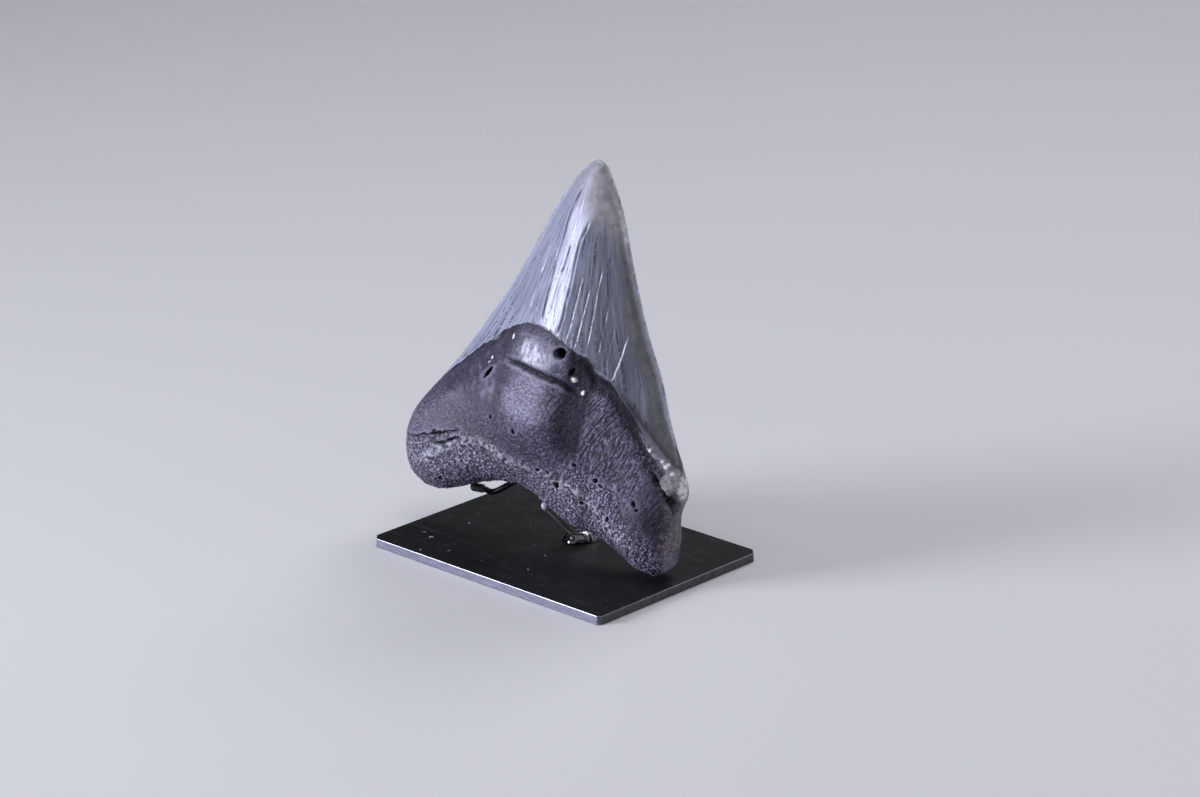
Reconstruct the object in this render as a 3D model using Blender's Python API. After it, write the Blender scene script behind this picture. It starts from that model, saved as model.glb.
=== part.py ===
"""Fossil shark tooth (megalodon) on its small steel display stand.

The tooth stands upright, tip up, its tongue side (lingual face) toward -Y.
A rod welded to a thin plate rises behind the tooth, and two wire prongs
carry the root from below, one on each flank of the notch between the lobes.

Frame: metres, +Z up, origin at the centre of the plate's underside, X along
the plate's long edge.  All lengths below are written in millimetres and are
scaled by MM when the meshes are made.
"""
import math

import bmesh
import bpy
import numpy as np
from mathutils import Matrix, Vector

MM = 0.001

# ---------------------------------------------------------------- plate
PLATE_LENGTH = 100.0          # along X
PLATE_DEPTH = 75.0            # along Y
PLATE_THICKNESS = 3.0
CORNER_CUTS = (2.3, 1.2, 2.4, 2.0)   # at (-X,-Y), (+X,-Y), (+X,+Y), (-X,+Y)
ARRIS = 0.25                  # broken edge all round

# ---------------------------------------------------------------- armature
GAP = 0.3                     # clearance between touching pieces
POST_X, POST_Y = -0.5, 9.6
POST_RADIUS = 2.0
POST_TOP = 64.0
WIRE_RADIUS = 1.0             # prong wire
SLEEVE_RADIUS = 1.45          # soft tip on each prong
SLEEVE_BORE = 1.25
SLEEVE_LENGTH = 3.2
RIGHT_PRONG = [(0.6, 5.0, 4.6), (-1.7, -0.3, 10.9), (-4.0, -5.6, 17.3)]
LEFT_PRONG = [(-2.9, 9.6, 27.0), (-9.0, 9.4, 26.4), (-15.0, 8.4, 24.2), (-21.0, 5.2, 20.2), (-26.3, 1.0, 16.0),
              (-30.4, -1.2, 13.4), (-32.3, -3.1, 14.4), (-33.9, -4.3, 14.8), (-35.2, -4.9, 14.9)]
BEAD_CENTRE = (0.3, 7.6)      # weld at the post's foot
BEAD_RADII = (5.4, 6.2, 3.4)

# ---------------------------------------------------------------- tooth
# Pose of the tooth's own frame (x across, y toward the back, z to the tip).
TOOTH_ORIGIN = (-4.5, -3.0, 6.5)
TOOTH_YAW = 6.0               # degrees about Z
TOOTH_LEAN = 4.0              # degrees, tip leaning back
TOOTH_ROLL = 5.5              # degrees, right lobe lower
ROOT_MID = 4.0                # the root's edge line lies this far to the front
COLUMNS, ROWS = 32, 50        # mesh density

# Outline of the tooth, seen from the front, as (x, z) stations.
LEFT_SIDE = [(-47.0, 3.0), (-53.2, 6.8), (-56.4, 14.0), (-55.8, 21.5), (-52.0, 30.0), (-46.0, 41.0),
             (-38.5, 54.5), (-31.5, 66.5), (-24.5, 79.5), (-18.0, 93.5), (-12.0, 107.0), (-6.0, 118.0),
             (-1.2, 124.2)]
TIP_ARC = [(-1.2, 124.2), (2.5, 126.2), (6.2, 124.6)]
RIGHT_SIDE = [(45.5, 2.7), (50.2, 6.2), (51.0, 13.0), (50.0, 21.5), (51.2, 29.0), (49.0, 36.5),
              (45.5, 43.5), (41.5, 51.0), (36.5, 63.0), (30.0, 74.5), (24.5, 86.0), (19.5, 98.0),
              (13.5, 113.0), (6.2, 124.6)]
UNDERSIDE = [(-47.0, 3.0), (-40.0, 3.4), (-33.0, 6.4), (-25.0, 10.4), (-16.0, 13.8), (-7.0, 14.6),
             (0.0, 12.4), (8.0, 9.2), (15.0, 7.8), (22.0, 7.8), (29.0, 6.8), (35.0, 4.4), (40.0, 2.8),
             (45.5, 2.7)]
# Where the crown gives way to the root, as (x, z).
NECK = [(-60, 36), (-46, 42), (-38, 47.5), (-30, 52), (-20, 55.5), (-8, 57.5), (0, 57), (10, 55.5),
        (18, 54.5), (26, 52), (34, 47.5), (42, 42), (50, 36), (60, 30)]
# Crown thickness in front of and behind the cutting edges, as (z, depth).
CROWN_FRONT = [(20, 16.0), (40, 16.0), (57, 14.0), (66, 12.6), (72, 11.6), (84, 9.2), (96, 7.0),
               (108, 5.2), (118, 3.6), (124, 2.2), (126.5, 1.4)]
CROWN_BACK = [(20, 6.5), (45, 6.2), (60, 5.2), (75, 4.4), (90, 3.6), (105, 2.8), (118, 1.9),
              (124, 1.3), (126.5, 0.9)]
ROOT_FRONT = 9.0              # root's least bulge to the front
ROOT_TORUS = 10.5             # extra bulge in the middle, below the neck
ROOT_LOBE = 5.0               # extra bulge of each lobe
ROOT_BACK = 6.3
ROUND_FRONT, ROUND_BACK = 9.0, 6.0   # how broadly the root's edges are rounded


def clear_scene():
    for ob in list(bpy.data.objects):
        bpy.data.objects.remove(ob, do_unlink=True)


def material(name, colour, roughness, metallic=0.0):
    mat = bpy.data.materials.new(name)
    mat.use_nodes = True
    bsdf = mat.node_tree.nodes["Principled BSDF"]
    bsdf.inputs["Base Color"].default_value = (*colour, 1.0)
    bsdf.inputs["Roughness"].default_value = roughness
    bsdf.inputs["Metallic"].default_value = metallic
    mat.diffuse_color = (*colour, 1.0)
    return mat


def add_object(name, mesh, mat, sharp=math.radians(35)):
    ob = bpy.data.objects.new(name, mesh)
    bpy.context.scene.collection.objects.link(ob)
    if mat is not None:
        mesh.materials.append(mat)
    mesh.shade_smooth()
    mesh.set_sharp_from_angle(angle=sharp)
    return ob


def mesh_from(name, verts, faces):
    mesh = bpy.data.meshes.new(name)
    mesh.from_pydata([tuple(float(c) * MM for c in v) for v in verts], [], faces)
    bm = bmesh.new()
    bm.from_mesh(mesh)
    bmesh.ops.remove_doubles(bm, verts=bm.verts, dist=1e-6)
    bmesh.ops.recalc_face_normals(bm, faces=bm.faces)
    bm.to_mesh(mesh)
    bm.free()
    mesh.update()
    return mesh


def cut_with(ob, cutter):
    cutter.display_type = "WIRE"
    cutter.hide_render = True
    mod = ob.modifiers.new("cut_" + cutter.name, "BOOLEAN")
    mod.operation = "DIFFERENCE"
    mod.object = cutter


# ---------------------------------------------------------------- curves
def smooth_path(points, per_span=12):
    """A smooth curve through the points (Catmull-Rom)."""
    p = np.array(points, float)
    q = np.vstack([2 * p[0] - p[1], p, 2 * p[-1] - p[-2]])
    out = []
    for i in range(1, len(q) - 2):
        t = np.linspace(0, 1, per_span, endpoint=False)[:, None]
        a, b, c, d = q[i - 1], q[i], q[i + 1], q[i + 2]
        out.append(0.5 * (2 * b + (c - a) * t + (2 * a - 5 * b + 4 * c - d) * t * t
                          + (3 * b - a - 3 * c + d) * t ** 3))
    return np.vstack(out + [p[-1:]])


def along(points, where):
    """Points at the given fractions of the length of the smooth curve."""
    c = smooth_path(points, 24)
    s = np.r_[0, np.cumsum(np.sqrt((np.diff(c, axis=0) ** 2).sum(1)))]
    return np.stack([np.interp(np.asarray(where) * s[-1], s, c[:, k]) for k in range(c.shape[1])], -1)


def curve_value(x, table):
    """Smooth value through (x, value) stations, without overshoot."""
    xs, ys = np.array(table, float).T
    h = np.diff(xs)
    slope = np.diff(ys) / h
    m = np.zeros(len(xs))
    m[0], m[-1] = slope[0], slope[-1]
    for i in range(1, len(xs) - 1):
        if slope[i - 1] * slope[i] > 0:
            w1, w2 = 2 * h[i] + h[i - 1], h[i] + 2 * h[i - 1]
            m[i] = (w1 + w2) / (w1 / slope[i - 1] + w2 / slope[i])
    x = np.clip(x, xs[0], xs[-1])
    k = np.clip(np.searchsorted(xs, x) - 1, 0, len(xs) - 2)
    t = (x - xs[k]) / h[k]
    return ((1 + 2 * t) * (1 - t) ** 2 * ys[k] + t * (1 - t) ** 2 * h[k] * m[k]
            + t * t * (3 - 2 * t) * ys[k + 1] + t * t * (t - 1) * h[k] * m[k + 1])


def smoothstep(a, b, x):
    t = np.clip((x - a) / (b - a), 0, 1)
    return t * t * (3 - 2 * t)


def tube(name, path, radius, sides, mat, round_start=False, round_end=False):
    """A closed rod along a path; an end is flat or a half ball."""
    path = np.array(path, float)
    tangent = np.gradient(path, axis=0)
    tangent /= np.linalg.norm(tangent, axis=1)[:, None]
    up = np.array([0.0, 0.0, 1.0]) if abs(tangent[0][2]) < 0.9 else np.array([1.0, 0.0, 0.0])
    rings = []
    steps = 5
    stations = [(path[i], tangent[i], radius) for i in range(len(path))]
    if round_start:
        cap = [(path[0] - tangent[0] * radius * math.sin(a), tangent[0], radius * math.cos(a))
               for a in np.linspace(math.pi / 2 * 0.92, math.pi / 2 / steps, steps)]
        stations = cap + stations
    if round_end:
        cap = [(path[-1] + tangent[-1] * radius * math.sin(a), tangent[-1], radius * math.cos(a))
               for a in np.linspace(math.pi / 2 / steps, math.pi / 2 * 0.92, steps)]
        stations = stations + cap
    side = np.cross(up, stations[0][1])
    for centre, t, r in stations:
        side = side - t * side.dot(t)
        side /= np.linalg.norm(side)
        other = np.cross(t, side)
        rings.append([centre + r * (math.cos(a) * side + math.sin(a) * other)
                      for a in np.linspace(0, 2 * math.pi, sides, endpoint=False)])
    verts = [v for ring in rings for v in ring]
    faces = []
    for i in range(len(rings) - 1):
        for j in range(sides):
            k = (j + 1) % sides
            faces.append((i * sides + j, i * sides + k, (i + 1) * sides + k, (i + 1) * sides + j))
    faces.append(tuple(range(sides)))
    faces.append(tuple((len(rings) - 1) * sides + j for j in range(sides)))
    return add_object(name, mesh_from(name, verts, faces), mat)


# ---------------------------------------------------------------- tooth
def distance_to(points, line):
    """Least distance from each point to a polyline."""
    a, b = line[:-1], line[1:]
    ab = b - a
    length2 = (ab ** 2).sum(1) + 1e-12
    out = np.empty(len(points))
    for i in range(0, len(points), 2000):
        p = points[i:i + 2000]
        t = np.clip(((p[:, None] - a) * ab).sum(2) / length2, 0, 1)
        q = a + t[..., None] * ab
        out[i:i + 2000] = np.sqrt(((p[:, None] - q) ** 2).sum(2).min(1))
    return out


def tooth_depths(p, d):
    """Front and back depth (y) of the tooth at (x, z) points d inside its outline."""
    x, z = p[:, 0], p[:, 1]
    where = np.linspace(0, 1, 400)
    left, right = along(LEFT_SIDE, where), along(RIGHT_SIDE, where)
    left, right = left[left[:, 1] > 22], right[right[:, 1] > 24]
    xl, xr = np.interp(z, left[:, 1], left[:, 0]), np.interp(z, right[:, 1], right[:, 0])
    half = np.maximum((xr - xl) / 2, 0.5)
    u = np.clip((x - (xl + xr) / 2) / half, -1, 1)
    crown = smoothstep(-13, 9, z - curve_value(x, NECK))
    # The crown: a full curve in front, nearly flat behind, thin at the cutting edges.
    front_shape = 0.6 * (1 - u ** 2) + 0.4 * (1 - u ** 2) ** 2
    back_shape = 1 - np.abs(u) ** 3
    q = np.clip(d / np.minimum(half, 4.0), 0, 1)
    tip_shape = np.sqrt(np.clip(1 - (1 - q) ** 2, 0, 1))
    front_shape = np.where(z > 112, np.minimum(front_shape, tip_shape), front_shape)
    back_shape = np.where(z > 112, np.minimum(back_shape, tip_shape), back_shape)
    # The root: a torus below the neck and two lobes, rounded at every edge.
    torus = np.exp(-((x + 1) / 26) ** 2 - ((z - 44) / 17) ** 2)
    lobes = (np.exp(-((x + 40) / 15) ** 2 - ((z - 18) / 14) ** 2)
             + np.exp(-((x - 38) / 15) ** 2 - ((z - 18) / 16) ** 2))
    root_front = ROOT_FRONT + ROOT_TORUS * torus + ROOT_LOBE * lobes
    e = 2.2
    edge_front = (1 - (1 - np.clip(d / ROUND_FRONT, 0, 1)) ** e) ** (1 / e)
    edge_back = (1 - (1 - np.clip(d / ROUND_BACK, 0, 1)) ** e) ** (1 / e)
    mid = ROOT_MID * (1 - crown)
    front = mid + (1 - crown) * (root_front - ROOT_MID) * edge_front + crown * curve_value(z, CROWN_FRONT) * front_shape
    back = -mid + (1 - crown) * (ROOT_BACK + ROOT_MID) * edge_back + crown * curve_value(z, CROWN_BACK) * back_shape
    return -front, back


def make_tooth(mat):
    a = np.linspace(0, 1, COLUMNS + 1)
    s = 0.35 * a + 0.65 * (0.5 - 0.5 * np.cos(np.pi * a))
    b = np.linspace(0, 1, ROWS + 1)
    t = 0.5 * b + 0.5 * (0.5 - 0.5 * np.cos(np.pi * b))
    left, right = along(LEFT_SIDE, t), along(RIGHT_SIDE, t)
    under, tip = along(UNDERSIDE, s), along(TIP_ARC, s)
    S, T = [g[..., None] for g in np.meshgrid(s, t)]
    grid = ((1 - S) * left[:, None] + S * right[:, None] + (1 - T) * under[None] + T * tip[None]
            - (1 - S) * (1 - T) * left[0] - S * (1 - T) * right[0]
            - (1 - S) * T * left[-1] - S * T * right[-1])
    n = np.linspace(0, 1, 500)
    outline = np.vstack([along(UNDERSIDE, n)[:-1], along(RIGHT_SIDE, n)[:-1],
                         along(TIP_ARC, n[::-8])[:-1], along(LEFT_SIDE, n[::-1])])
    flat = grid.reshape(-1, 2)
    d = distance_to(flat, outline)
    rim = np.zeros(grid.shape[:2], bool)
    rim[0] = rim[-1] = True
    rim[:, 0] = rim[:, -1] = True
    d[rim.ravel()] = 0.0
    front, back = tooth_depths(flat, d)
    middle = (front + back) / 2
    front[rim.ravel()] = middle[rim.ravel()]
    back[rim.ravel()] = middle[rim.ravel()]
    rows, cols = rim.shape
    verts = [(x, y, z) for (x, z), y in zip(flat, front)] + [(x, y, z) for (x, z), y in zip(flat, back)]
    faces = []
    size = rows * cols
    for i in range(rows - 1):
        for j in range(cols - 1):
            p, q = i * cols + j, i * cols + j + 1
            r, w = q + cols, p + cols
            # Two corner cells are split the other way, so that no triangle has all its corners on the rim.
            if (i, j) in ((rows - 2, 0), (0, cols - 2)):
                split = [(p, q, w), (q, r, w)]
            else:
                split = [(p, q, r), (p, r, w)]
            faces += split + [(size + f, size + h, size + g) for f, g, h in split]
    ob = add_object("tooth", mesh_from("tooth", verts, faces), mat, sharp=math.radians(60))
    turn = (Matrix.Rotation(math.radians(TOOTH_YAW), 4, "Z")
            @ Matrix.Rotation(math.radians(-TOOTH_LEAN), 4, "X")
            @ Matrix.Rotation(math.radians(TOOTH_ROLL), 4, "Y"))
    ob.matrix_world = Matrix.Translation(Vector(TOOTH_ORIGIN) * MM) @ turn
    return ob


# ---------------------------------------------------------------- stand
def make_plate(mat):
    hx, hy = PLATE_LENGTH / 2, PLATE_DEPTH / 2
    c0, c1, c2, c3 = CORNER_CUTS
    outline = [(-hx + c0, -hy), (hx - c1, -hy), (hx, -hy + c1), (hx, hy - c2),
               (hx - c2, hy), (-hx + c3, hy), (-hx, hy - c3), (-hx, -hy + c0)]
    bm = bmesh.new()
    face = bm.faces.new([bm.verts.new((x * MM, y * MM, 0.0)) for x, y in outline])
    grown = bmesh.ops.extrude_face_region(bm, geom=[face])
    bmesh.ops.translate(bm, vec=(0, 0, PLATE_THICKNESS * MM),
                        verts=[v for v in grown["geom"] if isinstance(v, bmesh.types.BMVert)])
    bmesh.ops.recalc_face_normals(bm, faces=bm.faces)
    mesh = bpy.data.meshes.new("base_plate")
    bm.to_mesh(mesh)
    bm.free()
    ob = add_object("base_plate", mesh, mat)
    bevel = ob.modifiers.new("arris", "BEVEL")
    bevel.width = ARRIS * MM
    bevel.segments = 2
    bevel.limit_method = "ANGLE"
    return ob


def make_post(name, mat, radius, low, high, sides=28, dome=True):
    levels = np.linspace(low, high - (radius * 0.6 if dome else 0.0), 5)
    rings = [(z, radius) for z in levels]
    if dome:
        rings += [(levels[-1] + radius * 0.6 * math.sin(a), radius * (0.35 + 0.65 * math.cos(a)))
                  for a in np.linspace(0, math.pi / 2, 6)[1:]]
    verts, faces = [], []
    for z, r in rings:
        verts += [(POST_X + r * math.cos(a), POST_Y + r * math.sin(a), z)
                  for a in np.linspace(0, 2 * math.pi, sides, endpoint=False)]
    for i in range(len(rings) - 1):
        for j in range(sides):
            k = (j + 1) % sides
            faces.append((i * sides + j, i * sides + k, (i + 1) * sides + k, (i + 1) * sides + j))
    faces.append(tuple(range(sides)))
    faces.append(tuple((len(rings) - 1) * sides + j for j in range(sides)))
    return add_object(name, mesh_from(name, verts, faces), mat)


def make_bead(mat):
    """Weld metal round the post's foot and the right prong's foot: a low lumpy mound."""
    cx, cy = BEAD_CENTRE
    rx, ry, rz = BEAD_RADII
    floor = PLATE_THICKNESS + GAP
    rings, sides = 9, 30
    verts, faces = [], []
    for i in range(rings):
        a = i / (rings - 1) * math.pi / 2 * 0.94
        for j in range(sides):
            b = 2 * math.pi * j / sides
            lump = 1 + 0.07 * math.sin(3 * b + 0.6) + 0.05 * math.sin(5 * b + 1.9) + 0.03 * math.sin(8 * b)
            verts.append((cx + rx * lump * math.cos(a) * math.cos(b), cy + ry * lump * math.cos(a) * math.sin(b),
                          floor + rz * math.sin(a) * (1 + 0.10 * math.sin(2 * b + 0.8) * math.cos(a))))
    for i in range(rings - 1):
        for j in range(sides):
            k = (j + 1) % sides
            faces.append((i * sides + j, i * sides + k, (i + 1) * sides + k, (i + 1) * sides + j))
    faces.append(tuple(range(sides)))
    faces.append(tuple((rings - 1) * sides + j for j in range(sides)))
    return add_object("weld_bead", mesh_from("weld_bead", verts, faces), mat)


def make_prong(side, points, wire_mat, sleeve_mat):
    """A wire with a soft sleeve pushed over its end; the sleeve ends in a half ball."""
    path = smooth_path(points, 8 if len(points) > 3 else 6)
    length = np.r_[0, np.cumsum(np.sqrt((np.diff(path, axis=0) ** 2).sum(1)))]
    total = length[-1]

    def stretch(a, b, count):
        return np.stack([np.interp(np.linspace(a, b, count), length, path[:, k]) for k in range(3)], -1)

    wire = tube("prong_" + side, stretch(0, total - 1.6, 12 if len(points) <= 3 else 34), WIRE_RADIUS, 14, wire_mat)
    sleeve = tube("tip_" + side, stretch(total - SLEEVE_LENGTH, total, 7), SLEEVE_RADIUS, 18, sleeve_mat,
                  round_end=True)
    bore = tube("bore_" + side, stretch(total - SLEEVE_LENGTH - 1.5, total - 1.6 + GAP, 9), SLEEVE_BORE, 14, None)
    cut_with(sleeve, bore)
    return wire, sleeve


def main():
    clear_scene()
    tooth_mat = material("fossil_tooth", (0.30, 0.30, 0.34), 0.35)
    plate_mat = material("plate_steel", (0.035, 0.035, 0.042), 0.45, 0.9)
    rod_mat = material("rod_steel", (0.05, 0.05, 0.055), 0.40, 0.9)
    weld_mat = material("weld_metal", (0.55, 0.55, 0.60), 0.18, 1.0)
    sleeve_mat = material("sleeve_rubber", (0.20, 0.19, 0.23), 0.45)

    make_tooth(tooth_mat)
    make_plate(plate_mat)
    make_post("post", rod_mat, POST_RADIUS, PLATE_THICKNESS + GAP, POST_TOP)
    make_prong("right", RIGHT_PRONG, rod_mat, sleeve_mat)
    make_prong("left", LEFT_PRONG, rod_mat, sleeve_mat)
    bead = make_bead(weld_mat)
    cut_with(bead, make_post("bead_post_hole", None, POST_RADIUS + GAP, PLATE_THICKNESS - 2, 20, dome=False))
    start, end = np.array(RIGHT_PRONG[0]), np.array(RIGHT_PRONG[1])
    way = (end - start) / np.linalg.norm(end - start)
    cut_with(bead, tube("bead_prong_hole", [start - way * GAP, start + way * 4, start + way * 12],
                        WIRE_RADIUS + GAP, 16, None))


main()
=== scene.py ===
"""Looks of the fossil shark tooth on its steel stand: finish, fine surface, floor, light and camera.
The tooth's surface is written in millimetres in its own frame (x across, y toward the back, z to the tip)
and turned into the shared frame at the end."""
import math

import bmesh
import bpy
import numpy as np
from mathutils import Matrix, Vector, kdtree


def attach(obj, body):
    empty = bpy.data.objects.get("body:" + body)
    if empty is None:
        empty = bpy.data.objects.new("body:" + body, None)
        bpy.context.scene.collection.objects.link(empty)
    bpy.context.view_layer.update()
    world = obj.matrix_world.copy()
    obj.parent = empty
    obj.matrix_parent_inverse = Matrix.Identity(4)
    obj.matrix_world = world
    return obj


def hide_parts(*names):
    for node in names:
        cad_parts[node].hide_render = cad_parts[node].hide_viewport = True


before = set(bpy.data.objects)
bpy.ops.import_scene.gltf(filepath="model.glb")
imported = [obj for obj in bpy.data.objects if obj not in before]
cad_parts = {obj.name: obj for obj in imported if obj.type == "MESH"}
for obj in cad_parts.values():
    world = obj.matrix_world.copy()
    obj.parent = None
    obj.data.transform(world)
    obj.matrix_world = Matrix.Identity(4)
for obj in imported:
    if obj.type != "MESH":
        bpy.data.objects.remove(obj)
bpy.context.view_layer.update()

MM = 0.001
scene = bpy.context.scene

# =============================================================== camera
CAM_AZ, CAM_EL, CAM_DIST = math.radians(42.654), math.radians(19.536), 1.3278
CAM_TARGET = Vector((0.015603, 0.0, 0.056282))
back = Vector((math.sin(CAM_AZ) * math.cos(CAM_EL), -math.cos(CAM_AZ) * math.cos(CAM_EL), math.sin(CAM_EL)))
cam_data = bpy.data.cameras.new("camera")
cam_data.sensor_width = 36.0
cam_data.lens = 4222.2 / 1200.0 * 36.0
cam_data.clip_start, cam_data.clip_end = 0.05, 30.0
cam = bpy.data.objects.new("camera", cam_data)
scene.collection.objects.link(cam)
cam.location = CAM_TARGET + back * CAM_DIST
cam.rotation_euler = back.to_track_quat("Z", "Y").to_euler()
scene.camera = cam

# =============================================================== small helpers
def smoothstep(a, b, x):
    t = np.clip((x - a) / (b - a), 0, 1)
    return t * t * (3 - 2 * t)


def smooth_path(points, per_span=12):
    p = np.array(points, float)
    q = np.vstack([2 * p[0] - p[1], p, 2 * p[-1] - p[-2]])
    out = []
    for i in range(1, len(q) - 2):
        t = np.linspace(0, 1, per_span, endpoint=False)[:, None]
        a, b, c, d = q[i - 1], q[i], q[i + 1], q[i + 2]
        out.append(0.5 * (2 * b + (c - a) * t + (2 * a - 5 * b + 4 * c - d) * t * t
                          + (3 * b - a - 3 * c + d) * t ** 3))
    return np.vstack(out + [p[-1:]])


def along(points, where):
    c = smooth_path(points, 24)
    s = np.r_[0, np.cumsum(np.sqrt((np.diff(c, axis=0) ** 2).sum(1)))]
    return np.stack([np.interp(np.asarray(where) * s[-1], s, c[:, k]) for k in range(c.shape[1])], -1)


def curve_value(x, table):
    xs, ys = np.array(table, float).T
    h = np.diff(xs)
    slope = np.diff(ys) / h
    m = np.zeros(len(xs))
    m[0], m[-1] = slope[0], slope[-1]
    for i in range(1, len(xs) - 1):
        if slope[i - 1] * slope[i] > 0:
            w1, w2 = 2 * h[i] + h[i - 1], h[i] + 2 * h[i - 1]
            m[i] = (w1 + w2) / (w1 / slope[i - 1] + w2 / slope[i])
    x = np.clip(x, xs[0], xs[-1])
    k = np.clip(np.searchsorted(xs, x) - 1, 0, len(xs) - 2)
    t = (x - xs[k]) / h[k]
    return ((1 + 2 * t) * (1 - t) ** 2 * ys[k] + t * (1 - t) ** 2 * h[k] * m[k]
            + t * t * (3 - 2 * t) * ys[k + 1] + t * t * (t - 1) * h[k] * m[k + 1])


def hashed(ix, iy, iz, seed):
    with np.errstate(over="ignore"):
        h = (ix.astype(np.int64).astype(np.uint32) * np.uint32(374761393)
             + iy.astype(np.int64).astype(np.uint32) * np.uint32(668265263)
             + iz.astype(np.int64).astype(np.uint32) * np.uint32(2246822519)
             + np.uint32((seed * 3266489917) & 0xFFFFFFFF))
        h = (h ^ (h >> np.uint32(15))) * np.uint32(2246822519)
        h = (h ^ (h >> np.uint32(13))) * np.uint32(3266489917)
        h = h ^ (h >> np.uint32(16))
    return h.astype(np.float64) / 4294967296.0


def noise(p, seed=0):
    """Smooth value noise, -1..1, one lattice cell per unit."""
    i = np.floor(p)
    f = p - i
    f = f * f * f * (f * (f * 6 - 15) + 10)
    x, y, z = i.T
    out = 0
    for dx in (0, 1):
        wx = f[:, 0] if dx else 1 - f[:, 0]
        for dy in (0, 1):
            wy = f[:, 1] if dy else 1 - f[:, 1]
            for dz in (0, 1):
                wz = f[:, 2] if dz else 1 - f[:, 2]
                out = out + wx * wy * wz * hashed(x + dx, y + dy, z + dz, seed)
    return out * 2 - 1


def fbm(p, octaves=4, seed=0, gain=0.5):
    total, amp, out = 0.0, 1.0, 0
    for k in range(octaves):
        out = out + amp * noise(p * (2.03 ** k) + 17.3 * k, seed + 11 * k)
        total += amp
        amp *= gain
    return out / total


def cells(p, seed=0):
    """Distance to the nearest scattered point, one point per unit cell."""
    base = np.floor(p)
    best = np.full(len(p), 9.0)
    for dx in (-1, 0, 1):
        for dy in (-1, 0, 1):
            for dz in (-1, 0, 1):
                c = base + (dx, dy, dz)
                x, y, z = c.T
                q = c + np.stack([hashed(x, y, z, seed), hashed(x, y, z, seed + 1), hashed(x, y, z, seed + 2)], -1)
                best = np.minimum(best, ((p - q) ** 2).sum(1))
    return np.sqrt(best)


def near_line(x, z, pts, reach):
    """Distance to a polyline and the place along it (0..1); far points get a large distance."""
    line = smooth_path(pts, 6)
    lo, hi = line.min(0) - reach, line.max(0) + reach
    sel = np.where((x > lo[0]) & (x < hi[0]) & (z > lo[1]) & (z < hi[1]))[0]
    dist, place, side = np.full(len(x), 99.0), np.zeros(len(x)), np.zeros(len(x))
    if len(sel) == 0:
        return dist, place, side
    p = np.stack([x[sel], z[sel]], -1)
    a, ab = line[:-1], np.diff(line, axis=0)
    seg = np.sqrt((ab ** 2).sum(1))
    start = np.r_[0, np.cumsum(seg)]
    best = np.full(len(p), 99.0)
    where = np.zeros(len(p))
    sgn = np.zeros(len(p))
    for k in range(len(a)):
        v = p - a[k]
        t = np.clip((v @ ab[k]) / (seg[k] ** 2 + 1e-12), 0, 1)
        r = v - t[:, None] * ab[k]
        d = np.sqrt((r ** 2).sum(1))
        m = d < best
        best[m] = d[m]
        where[m] = (start[k] + t[m] * seg[k]) / start[-1]
        sgn[m] = np.sign(ab[k][0] * v[m, 1] - ab[k][1] * v[m, 0])
    dist[sel], place[sel], side[sel] = best, where, sgn
    return dist, place, side


# =============================================================== the tooth's shape (as in the part)
TOOTH_ORIGIN = (-4.5, -3.0, 6.5)
TOOTH_YAW, TOOTH_LEAN, TOOTH_ROLL = 6.0, 4.0, 5.5
ROOT_MID = 4.0
LEFT_SIDE = [(-47.0, 3.0), (-53.2, 6.8), (-56.4, 14.0), (-55.8, 21.5), (-52.8, 30.2), (-46.2, 41.2),
             (-38.5, 54.5), (-31.5, 66.5), (-24.5, 79.5), (-18.0, 93.5), (-12.0, 107.0), (-6.0, 118.0),
             (-1.2, 124.2)]
TIP_ARC = [(-1.2, 124.2), (2.5, 126.2), (6.2, 124.6)]
RIGHT_SIDE = [(46.5, 2.0), (50.3, 5.4), (50.5, 13.0), (49.3, 21.5), (51.2, 29.0), (49.2, 36.5),
              (45.5, 43.5), (41.5, 51.0), (36.5, 63.0), (30.0, 74.5), (24.5, 86.0), (19.5, 98.0),
              (13.5, 113.0), (6.2, 124.6)]
UNDERSIDE = [(-47.0, 3.0), (-40.0, 3.4), (-33.0, 6.4), (-25.0, 10.4), (-16.0, 13.8), (-7.0, 14.6),
             (0.0, 12.4), (8.0, 9.2), (15.0, 7.8), (22.0, 7.8), (29.0, 6.8), (35.0, 4.3), (40.5, 2.3),
             (46.5, 2.0)]
NECK = [(-60, 36), (-46, 42), (-38, 47.5), (-30, 52), (-20, 55.5), (-8, 57.5), (0, 57), (10, 55.5),
        (18, 54.5), (26, 52), (34, 47.5), (42, 42), (50, 36), (60, 30)]
CROWN_FRONT = [(20, 16.0), (40, 16.0), (57, 14.0), (66, 12.6), (72, 11.6), (84, 9.2), (96, 7.0),
               (108, 5.2), (118, 3.6), (124, 2.2), (126.5, 1.4)]
CROWN_BACK = [(20, 6.5), (45, 6.2), (60, 5.2), (75, 4.4), (90, 3.6), (105, 2.8), (118, 1.9),
              (124, 1.3), (126.5, 0.9)]
ROOT_FRONT, ROOT_TORUS, ROOT_LOBE, ROOT_BACK = 9.0, 10.5, 5.0, 6.3
ROUND_FRONT, ROUND_BACK = 9.0, 6.0

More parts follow.
